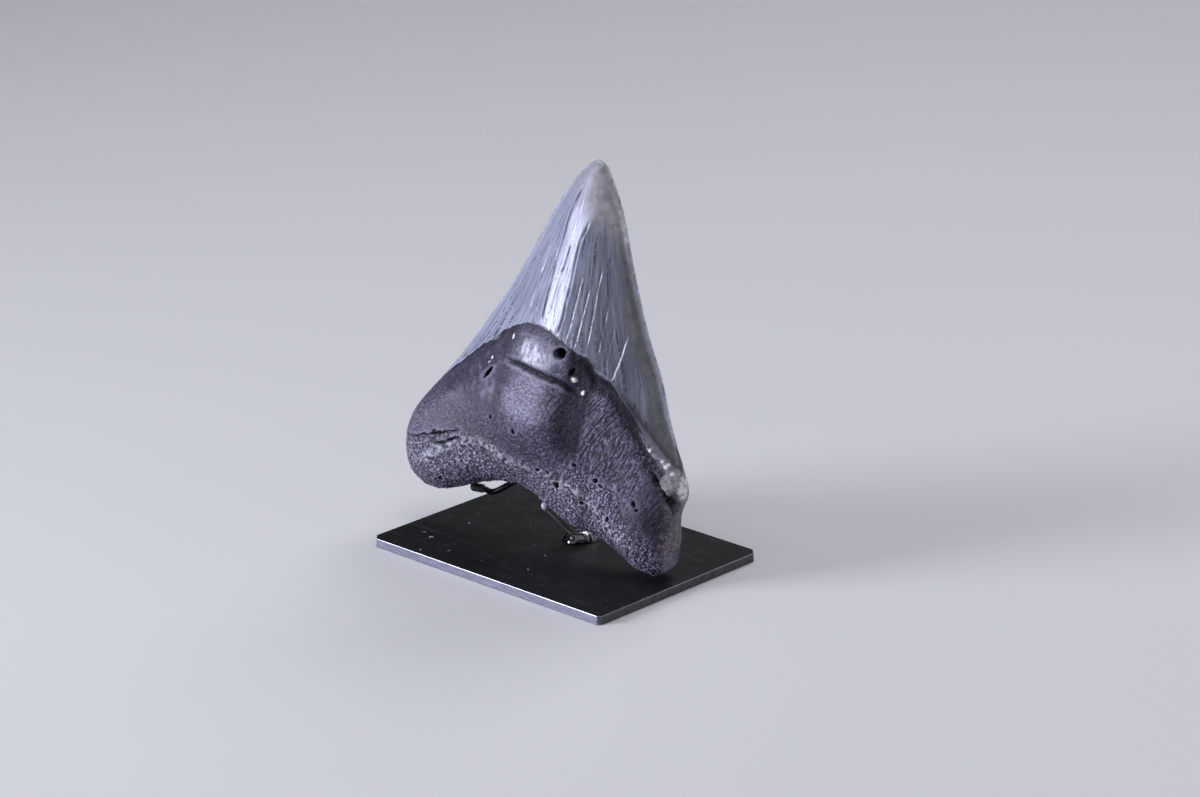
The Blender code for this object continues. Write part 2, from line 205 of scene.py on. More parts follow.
# Where the enamel ends and where the root's smooth skin gives way to open bone, as (x, z).
ENAMEL_FRONT = [(-60, 30), (-51, 37), (-45.8, 41.2), (-42, 44.7), (-34.7, 52), (-30.7, 56.1), (-26.4, 59.6),
                (-22.5, 63.2), (-18.6, 66.1), (-13.5, 69.0), (-9, 70.6), (-4.5, 71.2), (0, 70.9), (3.5, 69.7),
                (7, 68.3), (10.2, 67.0), (13.4, 66.9), (15.7, 65.4), (17.3, 63.0), (19.8, 61.7), (22.6, 60.6),
                (26.5, 56.8), (32.8, 51.1), (35.9, 48.2), (40.7, 44.0), (45.3, 40.0), (48, 37.8), (52, 34.5), (60, 28)]
ENAMEL_BACK = [(-60, 32), (-46, 41.5), (-34, 45), (-20, 48.5), (-8, 51), (2, 51.5), (14, 49.5), (27, 46), (40, 42),
               (49, 37), (60, 30)]
POROUS_FRONT = [(-60, 19), (-50.6, 20.0), (-43.6, 23.1), (-38, 25.2), (-31.3, 27.8), (-20, 28.2), (-14, 26.6),
                (-6, 26.0), (2, 26.6), (9, 27.0), (17, 28.8), (25, 28.2), (32, 26.2), (38, 23.4), (43, 19.0),
                (47, 13.6), (50.5, 8.6), (56, 4)]
POROUS_BACK = [(-60, 14), (-48, 15), (-34, 18), (-18, 23), (-6, 24), (6, 22), (18, 18), (34, 16), (48, 12), (60, 10)]

OUTLINE_N = 2600
_n = np.linspace(0, 1, OUTLINE_N)
OUTLINE = np.vstack([along(UNDERSIDE, _n), along(RIGHT_SIDE, _n), along(TIP_ARC, _n[::-12]), along(LEFT_SIDE, _n[::-1])])
OUTLINE_KIND = np.r_[np.zeros(OUTLINE_N), np.ones(OUTLINE_N), np.full(len(_n[::-12]), 2), np.full(OUTLINE_N, 3)].astype(int)
_step = np.r_[0, np.sqrt((np.diff(OUTLINE, axis=0) ** 2).sum(1))]
OUTLINE_LEN = np.cumsum(_step)
TREE = kdtree.KDTree(len(OUTLINE))
for _i, (_x, _z) in enumerate(OUTLINE):
    TREE.insert((float(_x), 0.0, float(_z)), _i)
TREE.balance()


def edge_distance(x, z):
    d, idx = np.empty(len(x)), np.empty(len(x), int)
    find = TREE.find
    for i, (a, b) in enumerate(zip(x.tolist(), z.tolist())):
        _, idx[i], d[i] = find((a, 0.0, b))
    return d, idx


_w = np.linspace(0, 1, 400)
_L, _R = along(LEFT_SIDE, _w), along(RIGHT_SIDE, _w)
_L, _R = _L[_L[:, 1] > 22], _R[_R[:, 1] > 24]


def across(x, z):
    """-1..1 between the cutting edges at height z, and the crown's half width there."""
    xl, xr = np.interp(z, _L[:, 1], _L[:, 0]), np.interp(z, _R[:, 1], _R[:, 0])
    half = np.maximum((xr - xl) / 2, 0.5)
    return np.clip((x - (xl + xr) / 2) / half, -1, 1), half


def tooth_depths(x, z, d):
    u, half = across(x, z)
    crown = smoothstep(-13, 9, z - curve_value(x, NECK))
    front_shape = 0.6 * (1 - u ** 2) + 0.4 * (1 - u ** 2) ** 2
    back_shape = 1 - np.abs(u) ** 3
    q = np.clip(d / np.minimum(half, 4.0), 0, 1)
    tip_shape = np.sqrt(np.clip(1 - (1 - q) ** 2, 0, 1))
    front_shape = np.where(z > 112, np.minimum(front_shape, tip_shape), front_shape)
    back_shape = np.where(z > 112, np.minimum(back_shape, tip_shape), back_shape)
    torus = np.exp(-((x + 1) / 26) ** 2 - ((z - 44) / 17) ** 2)
    lobes = (np.exp(-((x + 40) / 15) ** 2 - ((z - 18) / 14) ** 2)
             + np.exp(-((x - 38) / 15) ** 2 - ((z - 18) / 16) ** 2))
    root_front = ROOT_FRONT + ROOT_TORUS * torus + ROOT_LOBE * lobes
    e = 2.2
    edge_front = (1 - (1 - np.clip(d / ROUND_FRONT, 0, 1)) ** e) ** (1 / e)
    edge_back = (1 - (1 - np.clip(d / ROUND_BACK, 0, 1)) ** e) ** (1 / e)
    mid = ROOT_MID * (1 - crown)
    front = mid + (1 - crown) * (root_front - ROOT_MID) * edge_front + crown * curve_value(z, CROWN_FRONT) * front_shape
    back = -mid + (1 - crown) * (ROOT_BACK + ROOT_MID) * edge_back + crown * curve_value(z, CROWN_BACK) * back_shape
    return -front, back


# =============================================================== surface features
GROOVE_A = [(1.6, 120.2), (-1.4, 114.2), (-3.2, 106.4), (-3.5, 101.0), (-4.4, 94.4), (-4.5, 86.0), (-4.6, 79.5), (-4.3, 72.0)]
GROOVE_B = [(5.6, 109.5), (4.5, 105.2), (3.3, 100.6), (3.1, 94.6), (3.4, 88.3), (3.3, 81.8), (3.4, 76.3), (2.7, 70.3)]
GROOVES = [  # (points (x, z), depth, half width, lip height, lip side, how much painted shade lies in it)
    (GROOVE_A, 0.40, 0.32, 0.10, -1, 0.95),
    (GROOVE_B, 0.50, 0.42, 0.20, 1, 0.85),
    ([(-0.1, 99.0), (-0.5, 93.5), (-1.1, 89.4)], 0.26, 0.26, 0.04, 1, 0.8),
    ([(-8.0, 98.0), (-9.9, 88.5), (-10.9, 80.0), (-11.2, 73.0)], 0.14, 0.26, 0.05, -1, 0.35),
    ([(-9.4, 86.0), (-9.9, 78.0), (-9.2, 71.5)], 0.12, 0.22, 0.04, 1, 0.35),
    ([(-7.2, 84.0), (-7.6, 77.0), (-7.0, 71.8)], 0.10, 0.20, 0.03, 1, 0.40),
    ([(-13.4, 84.0), (-14.0, 77.0), (-14.0, 70.5)], 0.10, 0.22, 0.03, 1, 0.30),
    ([(-15.8, 89.0), (-17.6, 80.5), (-18.6, 74.0)], 0.10, 0.26, 0.04, 1, 0.25),
    ([(-1.9, 84.0), (-1.9, 77.0)], 0.07, 0.20, 0.02, 1, 0.25),
    ([(0.9, 79.0), (0.9, 74.5)], 0.05, 0.18, 0.0, 1, 0.25),
    ([(9.3, 88.0), (9.3, 77.0), (9.2, 68.0)], 0.20, 0.34, 0.08, 1, 0.40),
    ([(11.6, 95.0), (11.7, 88.0), (12.3, 79.5), (12.9, 69.0)], 0.22, 0.34, 0.09, 1, 0.45),
    ([(6.3, 92.0), (6.2, 80.0), (6.0, 70.0)], 0.14, 0.28, 0.05, 1, 0.40),
    ([(16.0, 84.0), (16.2, 76.0), (16.6, 67.5)], 0.14, 0.30, 0.06, 1, 0.35),
    ([(19.3, 78.0), (19.4, 71.0), (19.6, 64.5)], 0.12, 0.30, 0.05, 1, 0.35),
]
FOLD = [(23.7, 76.0), (23.5, 72.5), (23.5, 68.5), (23.1, 64.5), (22.6, 60.9)]
PITS = [  # (x, z, half width, half height, tilt in degrees, depth, raggedness)
    (5.6, 65.6, 1.80, 1.65, 0, 5.0, 0.0),     # round hole in the bourlette
    (10.4, 60.9, 0.62, 1.50, -28, 2.0, 0.1),
    (-22.1, 50.8, 0.62, 2.15, -24, 2.2, 0.1),
    (-17.2, 37.6, 0.40, 0.60, -10, 1.1, 0.2),
    (-5.9, 41.2, 0.38, 0.50, 0, 0.9, 0.2),
    (-5.9, 36.9, 0.62, 0.90, 8, 1.7, 0.2),
    (-14.0, 34.8, 0.35, 0.30, 0, 0.6, 0.2),
    (-10.6, 39.3, 0.25, 0.35, 0, 0.6, 0.2),
    (8.4, 21.8, 0.9, 1.1, -25, 1.6, 0.9),
    (15.4, 31.0, 0.8, 0.6, 0, 1.3, 0.8),
    (23.9, 28.4, 1.0, 0.8, 20, 1.3, 0.9),
    (26.2, 27.3, 0.9, 0.5, -20, 1.2, 0.9),
    (40.1, 26.0, 0.55, 1.0, 25, 1.4, 0.7),
    (41.4, 24.4, 0.45, 0.5, 0, 0.9, 0.7),
    (1.2, 24.8, 0.8, 0.5, 20, 1.1, 0.9),
    (5.3, 25.3, 0.7, 0.45, 0, 1.0, 0.9),
    (4.1, 32.7, 0.35, 0.5, 20, 0.7, 0.4),
    (-37.0, 9.5, 0.7, 0.6, 0, 1.0, 0.8),
    (31.0, 18.0, 0.8, 0.7, 20, 1.0, 0.9),
    (19.0, 19.0, 0.9, 0.6, 40, 1.0, 0.9),
]
GLINTS = [  # small bumps with painted white glints on them: (x, z, radius)
    (-15.8, 64.3, 0.62), (11.2, 58.4, 0.80), (14.7, 54.9, 0.62), (-23.2, 54.9, 0.34), (-23.8, 53.3, 0.26),
]
CRACKS = [  # (points, depth, half width)
    ([(-50.4, 19.9), (-47.0, 21.4), (-43.6, 23.1), (-38.3, 25.0), (-35.1, 26.8), (-31.3, 27.8)], 0.6, 0.30),
    ([(-40.2, 20.9), (-36.7, 22.2), (-34.5, 23.5), (-32.8, 24.7), (-30.3, 26.1)], 1.0, 0.50),
    ([(41.8, 36.6), (43.4, 34.9), (45.7, 32.4), (47.6, 30.4), (49.8, 28.9)], 1.5, 0.42),
]
SLOT = ((49.8, -6.8, 28.9), (50.4, -2.2, 23.0), 1.45)       # deep gap in the right lobe's outer side: ends and radius
RIM = [(-46.0, 12.9), (-40.5, 17.2), (-36.6, 20.6), (-32.1, 23.5), (-27.0, 25.6), (-19.6, 26.4), (-14.2, 24.7),
       (-8.8, 23.6), (-3.6, 23.4), (4.0, 22.0)]
RIM_RIGHT = [(2.0, 22.0), (8.0, 23.0), (14.0, 22.6), (21.0, 20.4), (28.0, 17.4), (35.0, 13.6), (40.5, 10.0), (44.0, 7.6)]
BOURLETTE_LOW = [(-30, 54.6), (-20.5, 56.0), (-13, 56.7), (-7, 56.9), (-1.4, 56.6), (3.8, 56.3), (7.2, 55.8),
                 (10.0, 54.7), (14, 53.0), (24, 48.0)]


def bands(p, spacing, seed, wander=0.5):
    """Sharp-crested ridges across p[:,0], broken up along p[:,1]."""
    q = p[:, 0] / spacing + wander * noise(np.stack([p[:, 0] * 0.25, p[:, 1] * 0.05, p[:, 2]], -1), seed)
    saw = q - np.floor(q)
    shape = np.where(saw < 0.3, saw / 0.3, 1 - (saw - 0.3) / 0.7)
    cell = np.floor(q)
    live = 0.45 + 0.55 * noise(np.stack([cell * 3.7, p[:, 1] * 0.16, cell * 1.3], -1), seed + 1)
    tall = 0.6 + 0.5 * noise(np.stack([cell * 5.1, cell * 2.2, cell * 0 + 4], -1), seed + 2)
    live = np.clip(live, 0, 1) * tall
    return live * (shape ** 1.5 - 0.3), live * (1 - smoothstep(0.0, 0.32, shape))


def front_relief(x, z, d):
    """Outward height (mm) added to the lingual face, and how much painted shade lies on each spot (in its grooves,
    pits, cracks and channels).
    """
    n = len(x)
    o = np.zeros(n)
    p = np.stack([x, z, o], -1)
    u, half = across(x, z)
    h = z - curve_value(x, ENAMEL_FRONT) + 0.25 * noise(p * 0.55, 5) + 0.12 * noise(p * 1.6, 6)
    q = 0.76 * h
    enamel = smoothstep(-0.18, 0.18, h)
    root = 1 - enamel
    r = o.copy()
    recess_shade = o.copy()
    painted_highlight = o.copy()                      # painted highlights: bright spots and lines where the light catches
    right_arm = smoothstep(10.0, 15, x) * (1 - smoothstep(46, 50, x))
    left_arm = smoothstep(-14, -20, x) * (1 - smoothstep(-44, -50, x))
    centre = 1 - np.maximum(right_arm, left_arm)
    # the enamel's edge stands a little proud of the neck, except down the right shoulder
    r += enamel * (0.18 + 0.14 * left_arm) * (1 - 0.8 * right_arm)
    r += 0.10 * np.exp(-(np.clip(h, 0, None) / 0.8) ** 2) * enamel * (1 - right_arm)
    r -= root * (0.08 + 0.25 * left_arm) * np.exp(h / 2.2) * (1 - right_arm)
    # painted shade: a thin dark line under the enamel's proud edge across the bourlette
    recess_shade += 0.85 * np.exp(-((h + 0.10) / 0.22) ** 2) * smoothstep(-21, -15, x) * (1 - smoothstep(7.5, 10.5, x))
    # painted highlight: a thin bright line on the enamel's edge down the right shoulder
    painted_highlight += 0.45 * np.exp(-((h + 0.02) / 0.24) ** 2) * smoothstep(9, 12, x) * (1 - smoothstep(24, 30, x))
    # painted highlight: a short bright dash left of the bourlette
    dist, place, _ = near_line(x, z, [(-28.6, 58.3), (-26.6, 59.3), (-24.2, 60.9)], 3)
    painted_highlight += 0.6 * np.exp(-(dist / 0.30) ** 2) * np.clip(0.5 + noise(p * 1.7, 9), 0, 1)
    # down the right shoulder: raised rim, enamel sunk behind it, deep channel before it
    w = 0.8 + 1.3 * smoothstep(30, 42, x)
    r += right_arm * 0.60 * np.exp(-((q + w * 0.55) / (0.62 * w)) ** 2)
    r -= right_arm * enamel * (0.25 + 0.55 * smoothstep(24, 38, x)) * np.exp(-np.clip(q - 0.3, 0, None) / 3.5)
    r -= (0.35 + 0.65 * smoothstep(13, 17, x)) * smoothstep(8.5, 13, x) * (1 - smoothstep(44, 49, x)) * (1.15 - 0.65 * smoothstep(30, 44, x)) * np.exp(-((q + w + 1.9) / 1.6) ** 2)
    r += right_arm * 0.25 * np.exp(-((q + w + 5.0) / 1.5) ** 2)
    # painted shade in the concave channel before the rim
    recess_shade += 0.50 * smoothstep(7, 13, x) * (1 - 0.7 * smoothstep(34, 44, x)) * (1 - smoothstep(46, 50, x)) * np.exp(-((q + w + 1.7) / 1.7) ** 2)
    # painted shadow between the rim and the enamel sunk behind it
    recess_shade += 0.45 * right_arm * smoothstep(20, 30, x) * np.exp(-((q - 0.25) / 0.35) ** 2)
    # painted highlight on the rim's crest
    painted_highlight += 0.30 * right_arm * smoothstep(30, 40, x) * np.exp(-((q + w * 0.5) / (0.5 * w)) ** 2)
    # the bourlette: a swollen band between the enamel and a groove
    mid = smoothstep(-20, -12, x) * (1 - smoothstep(9, 15, x))
    low = curve_value(x, BOURLETTE_LOW)
    band = np.clip((z - low) / np.maximum(curve_value(x, ENAMEL_FRONT) - low, 1), 0, 1)
    r += mid * (1.10 * smoothstep(0, 0.20, band) * (1 - smoothstep(0.74, 1.0, band)) + 0.30 * np.sin(np.pi * band)) * (z > low)
    g = z - low + 0.35 * noise(p * 0.45, 8) + 0.15 * noise(p * 1.3, 12)
    reach = smoothstep(-17.5, -11, x) * (1 - smoothstep(10, 14, x))
    r -= 1.35 * reach * np.where(g > 0, np.exp(-(g / 1.5) ** 2), np.exp(-(g / 0.42) ** 2))
    r += 0.14 * reach * np.exp(-((g + 0.9) / 0.6) ** 2)
    # painted shade in the groove under the bourlette
    cut = np.where(g > 0.25, 0.88 * np.exp(-((g - 0.25) / 1.30) ** 2), 0.88 * np.exp(-((g - 0.25) / 0.55) ** 2))
    recess_shade += cut * reach * (0.82 + 0.22 * smoothstep(-10, 4, x)) * np.clip(0.95 + 0.35 * noise(p * 0.9, 11), 0, 1.1)
    # painted highlight on the lip below the groove
    painted_highlight += 0.30 * reach * np.exp(-((g + 0.75) / 0.5) ** 2) * (1 - smoothstep(2, 9, x)) * np.clip(0.8 + 0.6 * noise(p * 1.5, 10), 0, 1)
    # shallow valleys down the root, right and left of its middle
    r -= 1.9 * np.exp(-((x - 12.0 - 0.05 * (50 - z)) / 5.2) ** 2) * smoothstep(24, 36, z) * (1 - smoothstep(57, 63, z))
    r += 0.5 * np.exp(-((x - 1.0) / 4.5) ** 2) * smoothstep(28, 38, z) * (1 - smoothstep(54, 58, z))
    r -= 0.6 * np.exp(-((x + 15.5) / 4.0) ** 2) * smoothstep(30, 38, z) * (1 - smoothstep(52, 58, z))
    # thin flange along both cutting edges
    blade = smoothstep(44, 52, z) * (1 - smoothstep(114, 122, z))
    r -= 0.30 * blade * np.exp(-((d - 1.9) / 0.8) ** 2) * smoothstep(0.2, 0.9, d)
    # the flat panel between the two long grooves, and the fall of the surface on each side
    za, xa = np.array(GROOVE_A)[::-1].T[::-1]
    zb, xb = np.array(GROOVE_B)[::-1].T[::-1]
    xa, xb = np.interp(z, za, xa), np.interp(z, zb, xb)
    span = smoothstep(66, 76, z) * (1 - smoothstep(104, 116, z))
    left_of, right_of = np.clip(xa - x, 0, None), np.clip(x - xb, 0, None)
    middle = (xa + xb) / 2
    panel = 0.022 * np.minimum((x - middle) ** 2, ((xb - xa) / 2) ** 2)
    panel = panel * (1 - smoothstep(0, 9, left_of)) * (1 - smoothstep(0, 3.2, right_of))
    panel -= 0.28 * smoothstep(0, 3.4, right_of) * (1 - smoothstep(3.0, 17, right_of))
    r += enamel * span * panel
    # growth lines running to the tip
    lean = x + 0.38 * (z - 66) * smoothstep(16, 26, x) * (1 - smoothstep(66, 92, z))
    s = u * 27
    flow = np.stack([s, z * 0.10, o], -1)
    lines = 0.55 * noise(flow + 3.1, 21) + 0.45 * noise(flow * (2.1, 1.3, 1) + 9.7, 22)
    fade = (1 - smoothstep(96, 124, z)) * (0.35 + 0.65 * (1 - smoothstep(72, 98, z))) * smoothstep(1.5, 6.0, d)
    border = curve_value(z, [(20, 40), (56.7, 34.1), (70.9, 25.6), (85.5, 19.2), (100.5, 15.2), (115.5, 11.3), (127, 8)])
    quiet = 1 - 0.85 * smoothstep(-1.5, 2.5, x - border)
    r += enamel * fade * quiet * 0.05 * lines
    fan = smoothstep(19, 24, x) * (1 - smoothstep(62, 74, z))
    tall = np.stack([s, z, o], -1)
    tilted = np.stack([x * 0.92 - (z - 58) * 0.40, z, o], -1)
    tall_h, tall_v = bands(tall, 1.90, 24)
    thin_h, thin_v = bands(tall, 0.95, 28)
    tall_h, tall_v = tall_h + 0.35 * thin_h, np.maximum(tall_v, 0.6 * thin_v)
    fan_h, fan_v = bands(tilted, 0.80, 27)
    left_h, left_v = bands(tall, 1.05, 34)
    zone = (1 - smoothstep(84, 100, z)) * smoothstep(0.0, 2.5, x - xb) * quiet
    r += enamel * 0.24 * ((1 - fan) * tall_h + fan * 0.7 * fan_h) * zone
    # painted shade in the valleys between the ridges
    recess_shade += enamel * 0.42 * ((1 - fan) * tall_v + fan * 0.8 * fan_v) * zone
    zone_left = (1 - smoothstep(80, 104, z)) * smoothstep(0.0, 2.0, xa - x) * smoothstep(1.5, 5, d)
    r += enamel * 0.12 * left_h * zone_left
    # painted shade in the valleys between the ridges
    recess_shade += enamel * 0.26 * left_v * zone_left
    r += enamel * 0.06 * fbm(p * 0.16, 3, 31)
    for pts, deep, wide, lip, way, groove_shade in GROOVES:
        dist, place, sd = near_line(x, z, pts, 3)
        ends = smoothstep(0, 0.14, place) * (1 - smoothstep(0.93, 1.0, place))
        vary = np.clip(0.85 + 0.35 * noise(np.stack([place * 14, o, o], -1), 41), 0, 1.2)
        r -= enamel * ends * vary * deep * np.exp(-(dist / wide) ** 2)
        r += enamel * ends * lip * np.exp(-((dist - 1.9 * wide) / (1.0 * wide)) ** 2) * (sd * way > 0)
        # painted shade along each groove's floor
        recess_shade += enamel * ends * vary * groove_shade * np.exp(-(dist / (0.72 * wide)) ** 2)
    # a fold in the enamel above the right shoulder: its right side steps up
    dist, place, sd = near_line(x, z, FOLD, 7)
    ends = smoothstep(0, 0.45, place)
    step = np.where(sd > 0, np.exp(-(dist / 4.0) ** 2), 0.0) - np.where(sd < 0, 0.6 * np.exp(-(dist / 1.0) ** 2), 0.0)
    r += enamel * ends * 0.34 * step * smoothstep(0.0, 0.25, dist)
    # painted highlight along the fold's lit edge
    painted_highlight += enamel * ends * 0.70 * np.exp(-((dist) / 0.20) ** 2)
    # root skin
    r += root * (0.28 * fbm(p * 0.11, 3, 51) + 0.12 * fbm(p * 0.45, 3, 52))
    fibre = np.stack([(x * 0.943 - z * 0.334) * 2.30, (z * 0.943 + x * 0.334) * 0.42, o], -1)
    right = smoothstep(-2, 10, x) * smoothstep(-1.5, -5.5, h)
    f = fbm(fibre, 3, 53, 0.6)
    patchy = np.clip(0.75 + 0.6 * noise(p * 0.12, 54), 0.3, 1.2)
    r += root * right * patchy * (0.20 * f + 0.20 * np.clip(f - 0.12, 0, 1))
    # open bone below: sunk under the broken edge of the skin
    b = z - curve_value(x, POROUS_FRONT) + 1.1 * noise(p * 0.35, 61) + 0.5 * noise(p * 0.9, 62)
    sharp = 1 - smoothstep(-34, -26, x)
    ragged = b + (1 - sharp) * (2.6 * noise(p * 0.30, 63) + 1.8 * noise(p * 0.75, 64))
    porous = 1 - smoothstep(-0.5 - 2.6 * (1 - sharp), 0.3 + 3.2 * (1 - sharp), ragged)
    r -= porous * (0.45 * sharp + 0.22)
    dist, place, _ = near_line(x, z, RIM, 6)
    crest = np.exp(-(dist / 1.9) ** 2) * smoothstep(0, 0.1, place) * (1 - smoothstep(0.80, 1.0, place))
    r += 0.75 * crest * (0.8 + 0.5 * noise(p * 0.7, 65))
    # painted highlight speckled along the rim's crest
    painted_highlight += 0.50 * crest * np.clip(0.30 + 1.5 * noise(p * 1.5, 66), 0, 1)
    dist, place, _ = near_line(x + 1.2 * noise(p * 0.25, 67), z + 1.2 * noise(p * 0.25, 68), RIM_RIGHT, 7)
    crest = np.exp(-(dist / 2.3) ** 2) * smoothstep(0, 0.1, place) * (1 - smoothstep(0.85, 1.0, place))
    r += 0.45 * crest * (0.8 + 0.5 * noise(p * 0.7, 69))
    # painted highlight speckled along the right rim's crest
    painted_highlight += 0.55 * crest * np.clip(0.10 + 1.6 * noise(p * 1.2, 70), 0, 1)
    between = smoothstep(-48, -44, x) * (1 - smoothstep(-30, -22, x))
    dist2, _, _ = near_line(x, z, [(-46, 17.0), (-40, 20.0), (-34, 23.5)], 6)
    r -= 0.55 * between * np.exp(-(dist2 / 1.6) ** 2)
    for pts, deep, wide in CRACKS:
        dist, place, _ = near_line(x + 0.3 * noise(p * 1.1, 71), z + 0.3 * noise(p * 1.1, 72), pts, 4)
        ends = smoothstep(0, 0.12, place) * (1 - smoothstep(0.92, 1.0, place)) * (0.55 + 0.6 * np.clip(noise(np.stack([place * 9, o, o], -1), 73) + 0.4, 0, 1))
        r -= ends * deep * np.exp(-(dist / wide) ** 2)
        # painted shade inside the crack
        recess_shade += ends * 0.95 * np.exp(-(dist / (wide * 1.1)) ** 2)
    # the broken strip right of the long crack
    strip = np.exp(-((x - 47.8) / 2.4) ** 2 - ((z - 34.6) / 3.4) ** 2)
    r += strip * (0.32 + 0.16 * fbm(p * 0.9, 2, 74))
    # thin flakes of the rim lying on each other
    for pts, high, wide in (([(34.2, 47.0), (36.8, 44.6), (40.4, 41.5)], 0.35, 0.8),
                            ([(38.0, 43.0), (40.5, 41.3), (42.6, 39.6)], 0.45, 0.7),
                            ([(41.0, 41.4), (43.6, 39.7), (46.0, 37.6)], 0.40, 0.55)):
        dist, place, sd = near_line(x + 0.25 * noise(p * 1.2, 75), z + 0.25 * noise(p * 1.2, 76), pts, 4)
        ends = smoothstep(0, 0.15, place) * (1 - smoothstep(0.85, 1.0, place))
        r += ends * high * np.exp(-(dist / wide) ** 2) * np.where(sd > 0, 1.0, smoothstep(0.5, 0.0, dist))
        # painted highlight on each flake's edge
        painted_highlight += 0.35 * ends * np.exp(-(dist / 0.35) ** 2) * np.clip(0.5 + noise(p * 1.8, 77), 0, 1)
    for cx, cz, a in GLINTS:
        e = np.exp(-((x - cx) / a) ** 2 - ((z - cz) / (1.25 * a)) ** 2)
        r += 0.40 * a * e
    for cx, cz, a, c, tilt, deep, ragged in PITS:
        t = math.radians(tilt)
        px, pz = (x - cx), (z - cz)
        ex = (px * math.cos(t) + pz * math.sin(t)) / a
        ez = (-px * math.sin(t) + pz * math.cos(t)) / c
        e = np.sqrt(ex ** 2 + ez ** 2)
        near = e < 4
        wob = e.copy()
        if ragged:
            wob[near] += 0.55 * ragged * fbm(p[near] * 1.1, 2, 81) + 0.10 * noise(p[near] * 2.0, 82)
        soft = 0.22 / max(a, c)
        r -= deep * (1 - smoothstep(1 - 1.2 * soft, 1 + 1.0 * soft, wob))
        if cz > 50:
            r += 0.10 * np.exp(-((e - 1.25) / 0.18) ** 2)
        # painted shade inside the pit
        recess_shade += 1.2 * (1 - smoothstep(0.80, 1.15, wob)) * min(1, 0.35 + deep * 0.5)
    return r, np.clip(recess_shade, 0, 1), enamel, porous, np.clip(painted_highlight, 0, 1)


def back_relief(x, z, d):
    n = len(x)
    p = np.stack([x, z, np.zeros(n)], -1)
    u, half = across(x, z)
    h = z - curve_value(x, ENAMEL_BACK) + 0.35 * noise(p * 0.4, 105) + 0.12 * noise(p * 1.6, 106)
    enamel = smoothstep(-0.20, 0.20, h)
    r = enamel * (0.10 + 0.20 * np.exp(-np.clip(h, 0, None) / 1.2)) - (1 - enamel) * 0.30 * np.exp(h / 2.0)
    # painted shade along the enamel's edge
    recess_shade = 0.5 * np.exp(-((h + 0.15) / 0.25) ** 2)
    flow = np.stack([u * 24, z * 0.09, np.zeros(n) + 5], -1)
    lines = 0.6 * noise(flow, 121) + 0.4 * noise(flow * (2.2, 1.4, 1), 122)
    fade = (1 - smoothstep(90, 122, z)) * smoothstep(1.5, 6.0, d)
    r += enamel * fade * 0.06 * lines
    high, valley = bands(np.stack([u * 26, z, np.zeros(n) + 9], -1), 1.5, 124)
    low_zone = enamel * smoothstep(1.5, 6.0, d) * (1 - smoothstep(56, 92, z))
    r += low_zone * 0.14 * high
    # painted shade in the valleys between the ridges
    recess_shade += low_zone * 0.25 * valley
    # long drying cracks up the crown
    for pts, deep in (([(-9.0, 52.0), (-8.2, 64.0), (-6.0, 78.0), (-4.6, 92.0)], 0.30), ([(7.5, 50.0), (8.0, 60.0), (7.4, 70.0)], 0.24),
                      ([(-22.0, 50.0), (-20.0, 60.0), (-16.8, 70.0)], 0.20), ([(20.5, 48.5), (19.0, 58.0), (17.0, 66.0)], 0.20),
                      ([(1.5, 88.0), (1.8, 98.0), (2.4, 108.0)], 0.20)):
        dist, place, _ = near_line(x + 0.25 * noise(p * 0.5, 125), z, pts, 3)
        ends = smoothstep(0, 0.12, place) * (1 - smoothstep(0.88, 1.0, place))
        r -= enamel * ends * deep * np.exp(-(dist / 0.30) ** 2)
        # painted shade inside the crack
        recess_shade += enamel * ends * 0.75 * np.exp(-(dist / 0.22) ** 2)
    r += enamel * 0.10 * fbm(p * 0.12, 3, 131)
    r += (1 - enamel) * (0.35 * fbm(p * 0.10, 3, 151) + 0.12 * fbm(p * 0.5, 3, 152))
    fibre = np.stack([x * 1.1, z * 0.24, np.zeros(n) + 3], -1)
    r += (1 - enamel) * (0.16 * fbm(fibre, 3, 153) + 0.22 * fbm(p * (0.7, 0.35, 1), 3, 154))
    r -= 0.5 * np.exp(-((x + 1) / 13) ** 2 - ((z - 36) / 12) ** 2)
    b = z - curve_value(x, POROUS_BACK) + 1.3 * noise(p * 0.3, 161) + 0.5 * noise(p * 0.9, 162)
    porous = 1 - smoothstep(-1.6, 1.2, b)
    r -= porous * 0.25
    for cx, cz, a, c, deep in ((-12, 40, .5, .8, 1.2), (7, 37, .6, .7, 1.4), (-25, 34, .4, .6, 1.0), (22, 33, .5, .6, 1.0),
                               (0, 45, .35, .5, .8), (-35, 27, .6, .5, 1.0), (33, 27, .5, .5, 1.0)):
        q = np.sqrt(((x - cx) / a) ** 2 + ((z - cz) / c) ** 2)
        r -= deep * (1 - smoothstep(0.7, 1.2, q))
        # painted shade inside the pit
        recess_shade += 1 - smoothstep(0.7, 1.15, q)
    return r, np.clip(recess_shade, 0, 1), enamel, porous, np.zeros(n)


def spongy(p, seed=0):
    """Open bone: pits and crumbs, about -1..1."""
    c = cells(p / 0.80 + 0.5 * noise(p / 1.5, 230)[:, None], 200 + seed)
    f = fbm(p / 0.62, 2, 220 + seed, 0.7)
    g = fbm(p / 2.4, 2, 221 + seed, 0.5)
    return np.clip(0.9 * (c - 0.5), -0.5, 0.5) + 0.85 * f + 0.55 * g


